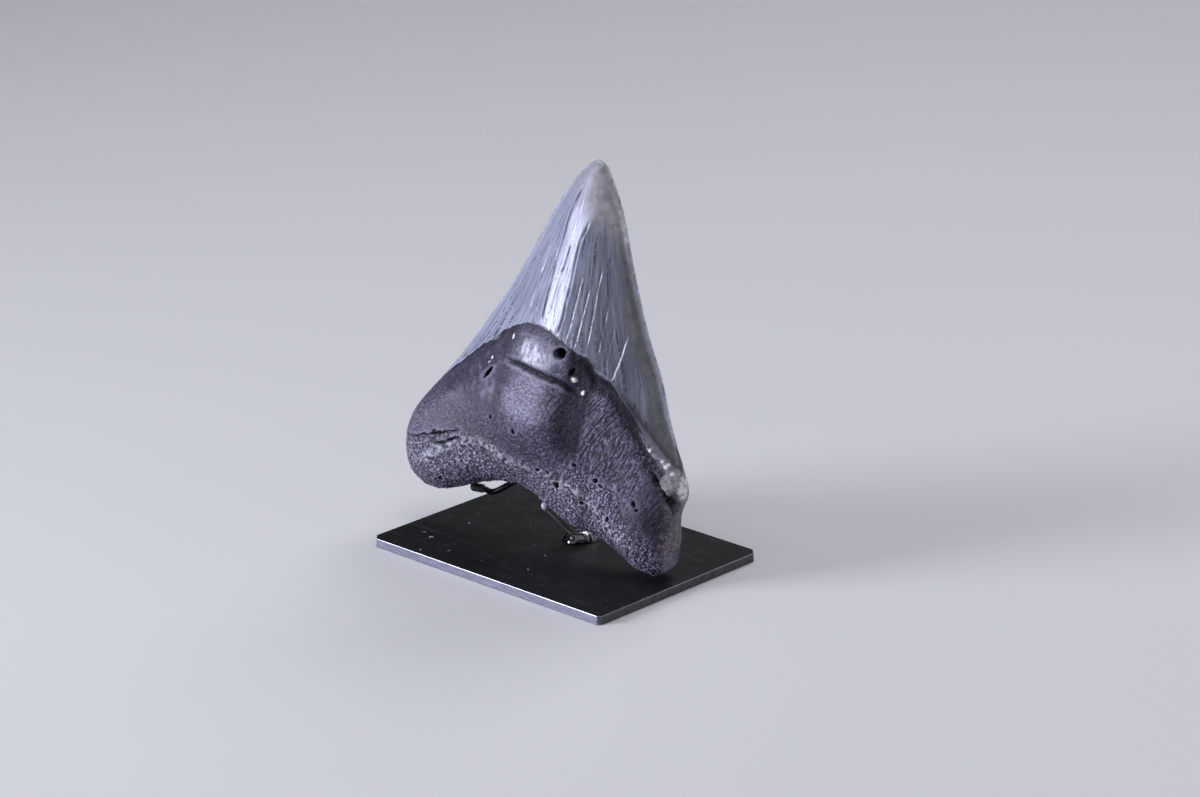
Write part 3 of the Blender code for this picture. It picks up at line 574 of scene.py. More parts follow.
def build_tooth(cols, rows, target):
    a = np.linspace(0, 1, cols + 1)
    s = 0.45 * a + 0.55 * (0.5 - 0.5 * np.cos(np.pi * a))
    b = np.linspace(0, 1, rows + 1)
    t = 0.8 * b + 0.2 * (0.5 - 0.5 * np.cos(np.pi * b))
    left, right = along(LEFT_SIDE, t), along(RIGHT_SIDE, t)
    under, tip = along(UNDERSIDE, s), along(TIP_ARC, s)
    S, T = [g[..., None] for g in np.meshgrid(s, t)]
    grid = ((1 - S) * left[:, None] + S * right[:, None] + (1 - T) * under[None] + T * tip[None]
            - (1 - S) * (1 - T) * left[0] - S * (1 - T) * right[0]
            - (1 - S) * T * left[-1] - S * T * right[-1])
    R, C = grid.shape[:2]
    x, z = grid[..., 0].ravel().copy(), grid[..., 1].ravel().copy()
    rim = np.zeros((R, C), bool)
    rim[0] = rim[-1] = True
    rim[:, 0] = rim[:, -1] = True
    rim = rim.ravel()
    d, idx = edge_distance(x, z)
    d[rim] = 0.0
    yf, yb = tooth_depths(x, z, d)
    settle = smoothstep(0.0, 1.2, d)
    rf = front_relief(x, z, d)[0]
    rb = back_relief(x, z, d)[0]
    middle = (yf + yb) / 2
    yf = yf - rf * settle
    yb = yb + rb * settle
    over = yf > yb - 0.25 * settle
    fix = over & ~rim
    yf[fix] = middle[fix] - 0.12 * settle[fix]
    yb[fix] = middle[fix] + 0.12 * settle[fix]
    yf[rim] = middle[rim]
    yb[rim] = middle[rim]
    # serrations along the two cutting edges
    kind = OUTLINE_KIND[idx]
    length = OUTLINE_LEN[idx]
    cut = ((kind == 1) | (kind == 3)) & (z > 44) & (z < 122)
    reach = np.exp(-(d / 0.45) ** 2) * smoothstep(44, 50, z) * (1 - smoothstep(118, 122, z))
    wear = 0.55 + 0.45 * noise(np.stack([length * 0.25, kind * 7.0, length * 0], -1), 301)
    saw = np.abs(np.sin(np.pi * length / 0.95 + 0.7 * noise(np.stack([length * 0.6, kind * 3.0, length * 0], -1), 302)))
    nick = 0.5 * np.clip(noise(np.stack([length * 0.33, kind * 5.0, length * 0], -1), 303) - 0.62, 0, 1)
    inward = np.where(kind == 3, 1.0, -1.0)
    x = x + np.where(cut, inward * reach * (0.27 * wear * (1 - saw) + nick), 0)
    F = np.stack([x, yf, z], -1)
    B = np.stack([x, yb, z], -1)
    index_b = np.arange(R * C) + R * C
    index_b[rim] = np.arange(R * C)[rim]
    keep = np.ones(2 * R * C, bool)
    keep[R * C:][rim] = False
    renum = np.cumsum(keep) - 1
    V = np.vstack([F, B])[keep]
    i, j = np.meshgrid(np.arange(R - 1), np.arange(C - 1), indexing="ij")
    p = (i * C + j).ravel()
    quad = np.stack([p, p + 1, p + C + 1, p + C], -1)
    # split into triangles; two corner cells are split the other way
    tri = np.concatenate([quad[:, [0, 1, 2]], quad[:, [0, 2, 3]]])
    corner = [(R - 2) * (C - 1) + 0, 0 * (C - 1) + (C - 2)]
    for cell in corner:
        tri[cell] = quad[cell, [0, 1, 3]]
        tri[len(quad) + cell] = quad[cell, [1, 2, 3]]
    tri_b = renum[index_b[tri[:, ::-1]]]
    tris = np.vstack([renum[tri], tri_b])
    mesh = bpy.data.meshes.new("tooth_fine")
    mesh.vertices.add(len(V))
    mesh.vertices.foreach_set("co", V.astype(np.float32).ravel())
    mesh.loops.add(len(tris) * 3)
    mesh.loops.foreach_set("vertex_index", tris.astype(np.int32).ravel())
    mesh.polygons.add(len(tris))
    mesh.polygons.foreach_set("loop_start", np.arange(0, len(tris) * 3, 3, dtype=np.int32))
    mesh.update(calc_edges=True)
    mesh.validate()
    # open bone is raised and sunk along the surface's own direction, so that it goes round the edges
    normal = np.empty(len(V) * 3, np.float32)
    mesh.vertices.foreach_get("normal", normal)
    normal = normal.reshape(-1, 3)
    info = describe(V)
    rough_bone = np.zeros(len(V))
    sel = info["porous"] > 0.01
    rough_bone[sel] = spongy(V[sel])
    grow = info["porous"] * (0.32 * rough_bone - 0.08)
    # a deep slot in the right lobe's outer side, where the long crack ends
    grow -= 1.9 * slot_mask(V)
    # the chalky knob at the end of the right shoulder
    q = np.sqrt(((V[:, 0] - 50.8) / 3.4) ** 2 + ((V[:, 1] + 1.5) / 4.2) ** 2 + ((V[:, 2] - 32.4) / 4.6) ** 2)
    knob = 1 - smoothstep(0.4, 1.1, q)
    grow += knob * (0.15 + 0.34 * fbm(V / 1.2, 3, 330))
    skin = (1 - info["enamel"]) * (1 - info["porous"])
    middle = np.exp(-((V[:, 0] + 4) / 15) ** 2 - ((V[:, 2] - 38) / 17) ** 2)
    grain = np.zeros(len(V))
    sel = skin > 0.01
    grain[sel] = fbm(V[sel] / 0.65, 2, 331, 0.8)
    calm = smoothstep(-12, -17, V[:, 0]) * smoothstep(37, 42, V[:, 2])
    grow += skin * (0.10 + 0.12 * middle) * (1 - 0.75 * calm) * grain
    V = V + normal * grow[:, None]
    mesh.vertices.foreach_set("co", V.astype(np.float32).ravel())
    mesh.update()
    ob = bpy.data.objects.new("tooth_fossil", mesh)
    scene.collection.objects.link(ob)
    mod = ob.modifiers.new("thin", "DECIMATE")
    mod.ratio = min(1.0, target / len(tris))
    bpy.context.view_layer.update()
    thin = bpy.data.meshes.new_from_object(ob.evaluated_get(bpy.context.evaluated_depsgraph_get()))
    ob.modifiers.clear()
    ob.data = thin
    bpy.data.meshes.remove(mesh)
    return ob


def slot_mask(V):
    a, b = np.array(SLOT[0]), np.array(SLOT[1])
    t = np.clip((V - a) @ (b - a) / ((b - a) @ (b - a)), 0, 1)
    away = np.sqrt(((V - a - t[:, None] * (b - a)) ** 2).sum(1)) / (SLOT[2] * (1.05 - 0.45 * t))
    return 1 - smoothstep(0.55, 1.10, away)


def describe(V):
    """Masks of the finish at points in the tooth's own frame."""
    x, y, z = V.T
    d, idx = edge_distance(x, z)
    yf, yb = tooth_depths(x, z, d)
    mixf = 1 - smoothstep(-0.5, 0.5, y - (yf + yb) / 2)
    masks = np.zeros((4, len(V)))
    for relief, share in ((front_relief, mixf), (back_relief, 1 - mixf)):
        sel = np.where(share > 0)[0]
        masks[:, sel] += share[sel] * np.array(relief(x[sel], z[sel], d[sel])[1:])
    recess_shade, enamel, porous, painted_highlight = masks
    kind = OUTLINE_KIND[idx]
    rim_low = ((kind == 0) * (1 - smoothstep(3.0, 6.5, d)))
    porous = np.maximum(porous, rim_low * (z < 30))
    return {"enamel": enamel, "porous": porous * (1 - enamel), "recess_shade": recess_shade, "painted_highlight": painted_highlight, "d": d, "mixf": mixf}


# =============================================================== node helpers
class Nodes:
    """Small helper that builds a node tree by name."""

    def __init__(self, name):
        self.mat = bpy.data.materials.new(name)
        self.mat.use_nodes = True
        self.tree = self.mat.node_tree
        self.tree.nodes.clear()
        self.out = self.add("ShaderNodeOutputMaterial")
        self.bsdf = self.add("ShaderNodeBsdfPrincipled")
        self.link(self.bsdf.outputs["BSDF"], self.out.inputs["Surface"])

    def add(self, kind, **props):
        node = self.tree.nodes.new(kind)
        for k, v in props.items():
            setattr(node, k, v)
        return node

    def link(self, a, b):
        self.tree.links.new(a, b)

    def feed(self, socket, value):
        if hasattr(value, "is_output") or isinstance(value, bpy.types.NodeSocket):
            self.link(value, socket)
        else:
            socket.default_value = value

    def attr(self, name, vector=False):
        node = self.add("ShaderNodeAttribute", attribute_name=name)
        return node.outputs["Vector"] if vector else node.outputs["Fac"]

    def coords(self):
        return self.add("ShaderNodeTexCoord").outputs["Object"]

    def noise(self, vec, scale, detail=3.0, rough=0.5, stretch=None, distort=0.0):
        if stretch:
            m = self.add("ShaderNodeMapping")
            self.link(vec, m.inputs["Vector"])
            m.inputs["Scale"].default_value = stretch
            vec = m.outputs["Vector"]
        node = self.add("ShaderNodeTexNoise")
        self.link(vec, node.inputs["Vector"])
        node.inputs["Scale"].default_value = scale
        node.inputs["Detail"].default_value = detail
        node.inputs["Roughness"].default_value = rough
        node.inputs["Distortion"].default_value = distort
        return node.outputs["Fac"]

    def voronoi(self, vec, scale, feature="F1", out="Distance"):
        node = self.add("ShaderNodeTexVoronoi", feature=feature)
        self.link(vec, node.inputs["Vector"])
        node.inputs["Scale"].default_value = scale
        return node.outputs[out]

    def ramp(self, fac, lo, hi, a=0.0, b=1.0, smooth=True):
        node = self.add("ShaderNodeMapRange", interpolation_type="SMOOTHSTEP" if smooth else "LINEAR")
        self.feed(node.inputs["Value"], fac)
        for k, v in (("From Min", lo), ("From Max", hi), ("To Min", a), ("To Max", b)):
            self.feed(node.inputs[k], v)
        return node.outputs["Result"]

    def math(self, op, a, b=0.0, clamp=False):
        node = self.add("ShaderNodeMath", operation=op, use_clamp=clamp)
        self.feed(node.inputs[0], a)
        self.feed(node.inputs[1], b)
        return node.outputs[0]

    def mix(self, fac, a, b, mode="MIX"):
        node = self.add("ShaderNodeMix", data_type="RGBA", blend_type=mode)
        node.clamp_factor = True
        self.feed(node.inputs[0], fac)
        self.feed(node.inputs[6], a if isinstance(a, bpy.types.NodeSocket) else tuple(a) + (1.0,))
        self.feed(node.inputs[7], b if isinstance(b, bpy.types.NodeSocket) else tuple(b) + (1.0,))
        return node.outputs[2]

    def bump(self, height, strength, distance, normal=None):
        node = self.add("ShaderNodeBump")
        self.feed(node.inputs["Strength"], strength)
        node.inputs["Distance"].default_value = distance
        self.link(height, node.inputs["Height"])
        if normal is not None:
            self.link(normal, node.inputs["Normal"])
        return node.outputs["Normal"]

    def split(self, vec):
        node = self.add("ShaderNodeSeparateXYZ")
        self.link(vec, node.inputs[0])
        return node.outputs


def normal_axes(n):
    g = n.add("ShaderNodeNewGeometry")
    s = n.split(g.outputs["Normal"])
    return s


# =============================================================== the tooth's finish
def fossil_material():
    n = Nodes("fossil_tooth")
    p = n.attr("local", vector=True)          # millimetres in the tooth's own frame
    enamel, porous, recess_shade = n.attr("enamel"), n.attr("porous"), n.attr("recess_shade")
    hollow, pale, warm, painted_highlight = n.attr("hollow"), n.attr("pale"), n.attr("warm"), n.attr("painted_highlight")
    flow = n.attr("flow", vector=True)        # along the growth lines: (across, up, depth)
    right_shade_and_tone, olive, side = n.attr("right_shade_and_tone"), n.attr("olive"), n.attr("side")
    polish_and_sheen, darkened = n.attr("polish_and_sheen"), n.attr("darkened")
    speck, fib, pinkish = n.attr("speck"), n.attr("fib"), n.attr("pinkish")
    not_enamel = n.math("SUBTRACT", 1.0, enamel)
    grain_way = n.attr("fibre", vector=True)  # turned so that its second axis runs along the root's fibres
    # enamel
    broad = n.noise(p, 0.05, 3, 0.5)
    spots = n.noise(p, 0.35, 4, 0.6)
    streak = n.noise(flow, 0.55, 4, 0.6, stretch=(1.0, 0.07, 1.0))
    fine = n.noise(flow, 1.5, 3, 0.6, stretch=(1.0, 0.028, 1.0))
    e = n.mix(n.ramp(broad, 0.35, 0.65), (0.215, 0.224, 0.315), (0.275, 0.286, 0.400))
    e = n.mix(n.math("MULTIPLY", n.ramp(streak, 0.38, 0.70), 0.8), e, (0.172, 0.176, 0.245))
    e = n.mix(n.math("MULTIPLY", n.ramp(fine, 0.50, 0.68), 0.55), e, (0.33, 0.34, 0.43))
    e = n.mix(n.math("MULTIPLY", n.ramp(fine, 0.48, 0.32), 0.45), e, (0.120, 0.122, 0.175))
    e = n.mix(n.math("MULTIPLY", n.ramp(spots, 0.56, 0.70), 0.25), e, (0.28, 0.28, 0.33))
    line = n.ramp(n.noise(flow, 1.7, 2, 0.5, stretch=(1.0, 0.022, 1.0)), 0.585, 0.640)
    beads = n.ramp(n.noise(flow, 1.5, 2, 0.6, stretch=(0.6, 0.55, 1.0)), 0.40, 0.52)
    line = n.math("MULTIPLY", n.math("MULTIPLY", line, beads), 0.86)
    line = n.math("MULTIPLY", line, n.math("SUBTRACT", 1.0, n.math("MAXIMUM", olive, warm), clamp=True))
    e = n.mix(line, e, (0.060, 0.060, 0.085))
    # darker copies of the enamel colours right of groove B: partly its own tone, partly painted shade
    shaded_toned_enamel = n.mix(n.ramp(streak, 0.4, 0.7), (0.106, 0.109, 0.144), (0.162, 0.169, 0.214))
    shaded_toned_enamel = n.mix(n.math("MULTIPLY", n.ramp(fine, 0.50, 0.68), 0.55), shaded_toned_enamel, (0.235, 0.245, 0.310))
    shaded_toned_enamel = n.mix(n.math("MULTIPLY", n.ramp(fine, 0.48, 0.32), 0.55), shaded_toned_enamel, (0.066, 0.068, 0.096))
    shaded_toned_enamel = n.mix(line, shaded_toned_enamel, (0.036, 0.037, 0.052))
    e = n.mix(right_shade_and_tone, e, shaded_toned_enamel)
    e = n.mix(olive, e, n.mix(n.ramp(spots, 0.4, 0.66), (0.062, 0.060, 0.062), (0.104, 0.100, 0.096)))
    e = n.mix(warm, e, n.mix(n.ramp(spots, 0.38, 0.62), (0.190, 0.172, 0.180), (0.290, 0.272, 0.280)))
    # root
    rb = n.noise(p, 0.09, 4, 0.55)
    rf = n.noise(p, 0.9, 4, 0.65)
    salt = n.noise(p, 1.35, 3, 0.80)
    dash = n.noise(grain_way, 2.1, 3, 0.75, stretch=(1.0, 0.20, 1.0))
    dash_b = n.noise(grain_way, 0.9, 4, 0.65, stretch=(1.0, 0.18, 1.0))
    r = n.mix(n.ramp(rb, 0.35, 0.65), (0.028, 0.025, 0.043), (0.046, 0.041, 0.068))
    r = n.mix(n.math("MULTIPLY", n.ramp(rf, 0.50, 0.70), 0.35), r, (0.110, 0.102, 0.152))
    r = n.mix(n.math("MULTIPLY", n.ramp(rf, 0.48, 0.30), 0.50), r, (0.024, 0.021, 0.030))
    r = n.mix(n.math("MULTIPLY", n.ramp(salt, 0.53, 0.61), n.math("MULTIPLY", speck, 0.62)), r, (0.205, 0.196, 0.275))
    r = n.mix(n.math("MULTIPLY", n.ramp(salt, 0.48, 0.39), n.math("MULTIPLY", speck, 0.85)), r, (0.010, 0.009, 0.013))
    # painted shade in the skin's hollows and painted highlight on its crests
    r = n.mix(n.ramp(hollow, 0.05, 0.60, 0.0, 0.7), r, (0.016, 0.014, 0.020))
    r = n.mix(n.ramp(hollow, -0.08, -0.60, 0.0, 0.6), r, (0.190, 0.182, 0.250))
    f = n.mix(n.ramp(dash_b, 0.38, 0.62), (0.010, 0.009, 0.013), (0.038, 0.035, 0.052))
    f = n.mix(n.math("MULTIPLY", n.ramp(dash, 0.53, 0.61), 0.92), f, (0.305, 0.300, 0.390))
    f = n.mix(n.math("MULTIPLY", n.ramp(dash, 0.46, 0.34), 0.80), f, (0.008, 0.007, 0.010))
    # painted shade in the fibres' hollows and painted highlight on their crests
    f = n.mix(n.ramp(hollow, 0.05, 0.50, 0.0, 0.7), f, (0.010, 0.009, 0.013))
    f = n.mix(n.ramp(hollow, -0.10, -0.60, 0.0, 0.6), f, (0.170, 0.162, 0.235))
    r = n.mix(n.math("MULTIPLY", fib, 0.92), r, f)
    # painted sheen: brighter skin colour on the polished bourlette and root middle
    w = n.mix(n.ramp(rf, 0.34, 0.62), (0.070, 0.066, 0.104), (0.165, 0.158, 0.242))
    w = n.mix(n.math("MULTIPLY", n.ramp(salt, 0.48, 0.40), 0.85), w, (0.028, 0.025, 0.038))
    w = n.mix(n.math("MULTIPLY", n.ramp(salt, 0.53, 0.61), 0.75), w, (0.460, 0.450, 0.600))
    r = n.mix(n.math("MULTIPLY", polish_and_sheen, 0.85), r, w)
    # darker root colour: painted shade in the valleys and the channel under the right shoulder, and darker patches on
    # the bourlette's left end and the right lobe's lower slope
    darkened_root = n.mix(n.ramp(rf, 0.36, 0.62), (0.009, 0.007, 0.010), (0.026, 0.024, 0.033))
    darkened_root = n.mix(n.math("MULTIPLY", n.ramp(salt, 0.55, 0.66), 0.7), darkened_root, (0.095, 0.090, 0.125))
    darkened_root = n.mix(n.math("MULTIPLY", n.ramp(salt, 0.46, 0.36), 0.8), darkened_root, (0.006, 0.005, 0.007))
    r = n.mix(n.math("MULTIPLY", darkened, 0.86), r, darkened_root)
    sw = n.mix(n.ramp(rf, 0.35, 0.65), (0.150, 0.138, 0.132), (0.380, 0.360, 0.345))
    sw = n.mix(pinkish, sw, n.mix(n.ramp(rf, 0.35, 0.65), (0.320, 0.235, 0.190), (0.500, 0.410, 0.350)))
    sw = n.mix(n.math("MULTIPLY", n.ramp(salt, 0.49, 0.38), 0.9), sw, (0.018, 0.015, 0.018))
    sw = n.mix(n.math("MULTIPLY", n.ramp(salt, 0.54, 0.63), 0.75), sw, (0.480, 0.450, 0.480))
    r = n.mix(side, r, sw)
    # open bone
    pb = n.noise(p, 1.55, 3, 0.80)
    pc = n.noise(p, 0.45, 3, 0.6)
    o = n.mix(n.ramp(pc, 0.35, 0.65), (0.016, 0.014, 0.021), (0.086, 0.080, 0.112))
    o = n.mix(n.math("MULTIPLY", n.ramp(pb, 0.50, 0.40), 0.94), o, (0.007, 0.006, 0.009))
    o = n.mix(n.math("MULTIPLY", n.ramp(pb, 0.535, 0.62), 0.90), o, (0.540, 0.525, 0.670))
    # painted shade in the open bone's pits and painted highlight on its crumbs
    o = n.mix(n.ramp(hollow, 0.08, 0.60, 0.0, 0.88), o, (0.007, 0.006, 0.009))
    o = n.mix(n.ramp(hollow, -0.20, -0.80, 0.0, 0.60), o, (0.380, 0.370, 0.490))
    o = n.mix(n.ramp(rb, 0.46, 0.60, 0.0, 0.45), o, (0.016, 0.014, 0.020))
    r = n.mix(porous, r, o)
    r = n.mix(1.0, r, (0.90, 0.85, 0.97), "MULTIPLY")
    c = n.mix(enamel, r, e)
    # painted highlights: bright spots and lines where the light catches edges, crests and the bourlette
    c = n.mix(n.math("MULTIPLY", painted_highlight, 0.9), c, (0.56, 0.56, 0.66))
    # white: the chalky knob and flecks on the right shoulder, and painted white glints on the small bumps
    c = n.mix(pale, c, n.mix(n.ramp(rf, 0.36, 0.52), (0.42, 0.41, 0.44), (1.0, 1.0, 1.0)))
    # painted shade in grooves, pits, cracks, channels and the slot
    c = n.mix(n.math("MULTIPLY", recess_shade, 0.94), c, (0.006, 0.005, 0.007))
    n.link(c, n.bsdf.inputs["Base Color"])
    # gloss: enamel is polished, the root's skin is satin, open bone is dull
    re = n.ramp(n.noise(flow, 1.3, 4, 0.65, stretch=(1.0, 0.06, 1.0)), 0.36, 0.64, 0.23, 0.42)
    re = n.math("ADD", re, n.math("MAXIMUM", n.math("MULTIPLY", olive, 0.24), n.math("MULTIPLY", warm, 0.34)))
    rr = n.math("SUBTRACT", n.ramp(rf, 0.3, 0.7, 0.30, 0.44), n.math("MULTIPLY", polish_and_sheen, 0.11))
    rr = n.math("ADD", rr, n.math("MULTIPLY", darkened, 0.28))
    rr = n.math("ADD", rr, n.math("MULTIPLY", n.math("MAXIMUM", side, fib), 0.18))
    ro = n.ramp(pb, 0.36, 0.64, 0.68, 0.40)
    rough = n.mix(porous, n.mix(0.0, rr, rr), ro)
    rough = n.mix(enamel, rough, re)
    rough = n.mix(n.math("MAXIMUM", pale, recess_shade), rough, (0.66, 0.66, 0.66))
    sep = n.add("ShaderNodeSeparateColor")
    n.link(rough, sep.inputs[0])
    n.link(sep.outputs[0], n.bsdf.inputs["Roughness"])
    dull = n.math("MAXIMUM", n.math("MAXIMUM", darkened, recess_shade), n.math("MAXIMUM", side, n.math("MULTIPLY", fib, 0.7)))
    dull = n.math("MULTIPLY", dull, not_enamel)
    shine = n.math("SUBTRACT", n.math("SUBTRACT", 0.75, n.math("MULTIPLY", not_enamel, 0.17)), n.math("MULTIPLY", dull, 0.44))
    shine = n.math("ADD", shine, n.math("MULTIPLY", polish_and_sheen, 0.30))
    cut = n.math("SUBTRACT", 1.0, n.math("MULTIPLY", n.math("MULTIPLY", line, enamel), 0.85))
    n.link(n.math("MULTIPLY", shine, cut), n.bsdf.inputs["Specular IOR Level"])
    n.bsdf.inputs["IOR"].default_value = 1.55
    n.bsdf.inputs["Specular Tint"].default_value = (0.87, 0.87, 1.0, 1.0)
    # fine relief under a tenth of a millimetre
    hair = n.noise(flow, 2.4, 3, 0.6, stretch=(1.0, 0.03, 1.0))
    fe = n.math("MULTIPLY", hair, enamel)
    rest = n.math("SUBTRACT", 1.0, fib)
    round_grain = n.math("MULTIPLY", n.math("MULTIPLY", n.math("MAXIMUM", salt, 0.0), rest), n.math("MAXIMUM", speck, porous))
    long_grain = n.math("MULTIPLY", dash, fib)
    fr = n.math("MULTIPLY", n.math("ADD", round_grain, long_grain), not_enamel)
    nb = n.bump(fe, 0.45, 0.00012)
    nb = n.bump(fr, 0.95, 0.00036, nb)
    n.link(nb, n.bsdf.inputs["Normal"])
    return n.mat


def put(ob, name, values, vector=False):
    a = ob.data.attributes.new(name, "FLOAT_VECTOR" if vector else "FLOAT", "POINT")
    a.data.foreach_set("vector" if vector else "value", np.asarray(values, np.float32).ravel())


def hollows(V, edges, rounds):
    """How far each point lies below the mean of its neighbours (mm), positive in pits."""
    mean = V.copy()
    count = np.bincount(edges.ravel(), minlength=len(V)).astype(float)[:, None]
    for _ in range(rounds):
        total = np.zeros_like(V)
        for k in range(3):
            total[:, k] = (np.bincount(edges[:, 0], mean[edges[:, 1], k], len(V))
                           + np.bincount(edges[:, 1], mean[edges[:, 0], k], len(V)))
        mean = total / np.maximum(count, 1)
    return mean


def finish_tooth(ob):
    mesh = ob.data
    V = np.empty(len(mesh.vertices) * 3)
    mesh.vertices.foreach_get("co", V)
    V = V.reshape(-1, 3)
    N = np.empty(len(V) * 3)
    mesh.vertices.foreach_get("normal", N)
    N = N.reshape(-1, 3)
    E = np.empty(len(mesh.edges) * 2, np.int32)
    mesh.edges.foreach_get("vertices", E)
    E = E.reshape(-1, 2)
    info = describe(V)
    x, y, z = V.T
    mean = hollows(V, E, 5)
    # how far each point lies below its neighbours; the finish paints shade into hollows and a highlight onto crests
    # from it
    hollow = ((mean - V) * N).sum(1) / 0.16
    u, half = across(x, z)
    flow = np.stack([u * 27, z, y * 0.3 + 40 * (info["mixf"] < 0.5)], -1)
    pale = np.zeros(len(V))
    q = np.sqrt(((x - 52.0) / 3.7) ** 2 + ((y + 1.5) / 5.0) ** 2 + ((z - 32.4) / 5.4) ** 2)
    pale = np.maximum(pale, (1 - smoothstep(0.55, 1.05, q + 0.35 * fbm(V / 2.0, 2, 400))))
    q = np.sqrt(((x - 48.0) / 3.6) ** 2 + ((z - 34.5) / 4.4) ** 2)
    pale = np.maximum(pale, 0.35 * (1 - smoothstep(0.6, 1.0, q + 0.3 * fbm(V / 2.0, 2, 401))) * (y < 1) * (1 - info["enamel"]))
    # white flecks on the shoulder, and painted white glints on the GLINTS bumps
    for cx, cz, a in ((45.3, 38.6, 0.75), (47.4, 36.6, 0.60), (43.8, 39.9, 0.40), (39.4, 42.4, 0.55)) + tuple(GLINTS):
        q = np.sqrt(((x - cx) / a) ** 2 + ((z - cz) / (1.25 * a)) ** 2)
        pale = np.maximum(pale, (1 - smoothstep(0.55, 1.15, q)) * (y < 0))
    warm = smoothstep(105, 118, z + 2.2 * fbm(V / 3.0, 3, 410) + 0.50 * x) * (0.40 + 0.55 * smoothstep(-1.5, 4.5, x - 0.5 + 1.5 * fbm(V / 3.0, 2, 411)))
    xb = np.interp(z, *np.array(GROOVE_B)[::-1].T[::-1])
    border = curve_value(z, [(20, 40), (56.7, 34.1), (70.9, 25.6), (85.5, 19.2), (100.5, 15.2), (115.5, 11.3), (127, 8)])
    # right of groove B the enamel is partly darker of itself and partly painted as shade on the side turned from the
    # light
    right_shade_and_tone = smoothstep(-0.5, 5.0, x - xb) * info["mixf"]
    olive = smoothstep(-2.6, 2.6, x - border + 2.0 * fbm(V / 5.0, 3, 420)) * info["mixf"] * 0.9
    # a thin band along the cutting edges, used for a painted highlight line
    blade = np.exp(-((info["d"] - 0.2) / 0.55) ** 2) * (z > 44)
    wavy = 0.35 * fbm(V / 4.0, 3, 430)
    # polished patches on the bourlette and the root's middle: glossier, and also painted brighter as a sheen
    polish_and_sheen = 1 - smoothstep(0.55, 1.15, np.sqrt(((x + 4.2) / 7.2) ** 2 + ((z - 62.6) / 4.8) ** 2) + wavy)
    polish_and_sheen = np.maximum(polish_and_sheen, 0.80 * (1 - smoothstep(0.60, 1.10, np.sqrt(((x + 3.2) / 9.5) ** 2 + ((z - 48.5) / 10.5) ** 2) + wavy)))
    polish_and_sheen *= info["mixf"] * (1 - info["enamel"])
    # painted shade in the valley right of the middle, in the channel under the right shoulder and in the valley left of
    # the middle; also darker on the bourlette's left end and on the right lobe's lower outer slope
    darkened = 1.1 * (1 - smoothstep(0.65, 1.35, np.abs(x - 13.4) / 5.0)) * smoothstep(30, 39, z) * (z < 68)
    shoulder = z - curve_value(x, ENAMEL_FRONT)
    darkened = np.maximum(darkened, smoothstep(8, 12, x) * (1 - smoothstep(36, 44, x)) * np.exp(-((shoulder + 1.9) / 1.9) ** 2) * 1.1)
    darkened = np.maximum(darkened, smoothstep(-33, -27, x) * (1 - smoothstep(-17, -11, x)) * np.exp(-((shoulder + 1.8) / 2.4) ** 2) * 0.8)
    darkened = np.maximum(darkened, np.exp(-((x + 15.5) / 3.6) ** 2 - ((z - 46) / 12) ** 2) * 0.35)
    darkened = np.maximum(darkened, 0.62 * smoothstep(35, 43, x - 0.35 * (z - 26)) * smoothstep(8, 14, z) * (1 - smoothstep(34, 40, z)))
    darkened = np.clip(darkened * (0.9 + 0.5 * fbm(V / 5.0, 2, 431)), 0, 1) * info["mixf"] * (1 - info["enamel"])
    mottle = fbm(V / 1.7, 3, 440)
    side = smoothstep(47.6, 50.9, x + 3.2 * mottle) * (1 - smoothstep(24, 30, z)) * smoothstep(4.0, 9.0, z + 3.0 * mottle) * 0.85
    pinkish = 0.55 * side * smoothstep(-6.0, -1.5, y + 2.5 * mottle)
    slot = slot_mask(V)
    calm = smoothstep(-12, -17, x) * smoothstep(36, 41, z + 2.0 * fbm(V / 4.0, 2, 441))
    speck = (1 - 0.8 * calm) * (1 - 0.20 * darkened)
    fib = smoothstep(9, 18, x + 2.5 * fbm(V / 5.0, 2, 434)) * smoothstep(-2.0, -5.0, shoulder) * (1 - side) * info["mixf"]
    fib *= 1 - 0.75 * smoothstep(36, 44, x - 0.35 * (z - 26) + 2.0 * fbm(V / 4.0, 2, 435))
    fibre = np.stack([(x * 0.943 - z * 0.334), (z * 0.943 + x * 0.334), y * 0.5], -1)
    # painted sheen: a bright, streaky patch on the bourlette, added to the painted highlights
    bourlette_sheen = 1.15 * (1 - smoothstep(0.25, 1.20, np.sqrt(((x + 3.6) / 8.0) ** 2 + ((z - 62.2) / 4.6) ** 2) + 0.6 * wavy))
    bourlette_sheen *= np.clip(0.60 + 1.5 * fbm(V * (1.5, 1.0, 0.6), 2, 433), 0, 1.3) * info["mixf"] * (1 - info["enamel"])
    put(ob, "local", V, True)
    put(ob, "flow", flow, True)
    put(ob, "enamel", info["enamel"])
    put(ob, "porous", info["porous"] * (1 - 0.2 * side))
    # painted shade: the recesses, and the deep slot in the right lobe
    put(ob, "recess_shade", np.maximum(info["recess_shade"], slot))
    put(ob, "speck", speck)
    put(ob, "fib", fib)
    put(ob, "fibre", fibre, True)
    put(ob, "pinkish", pinkish)
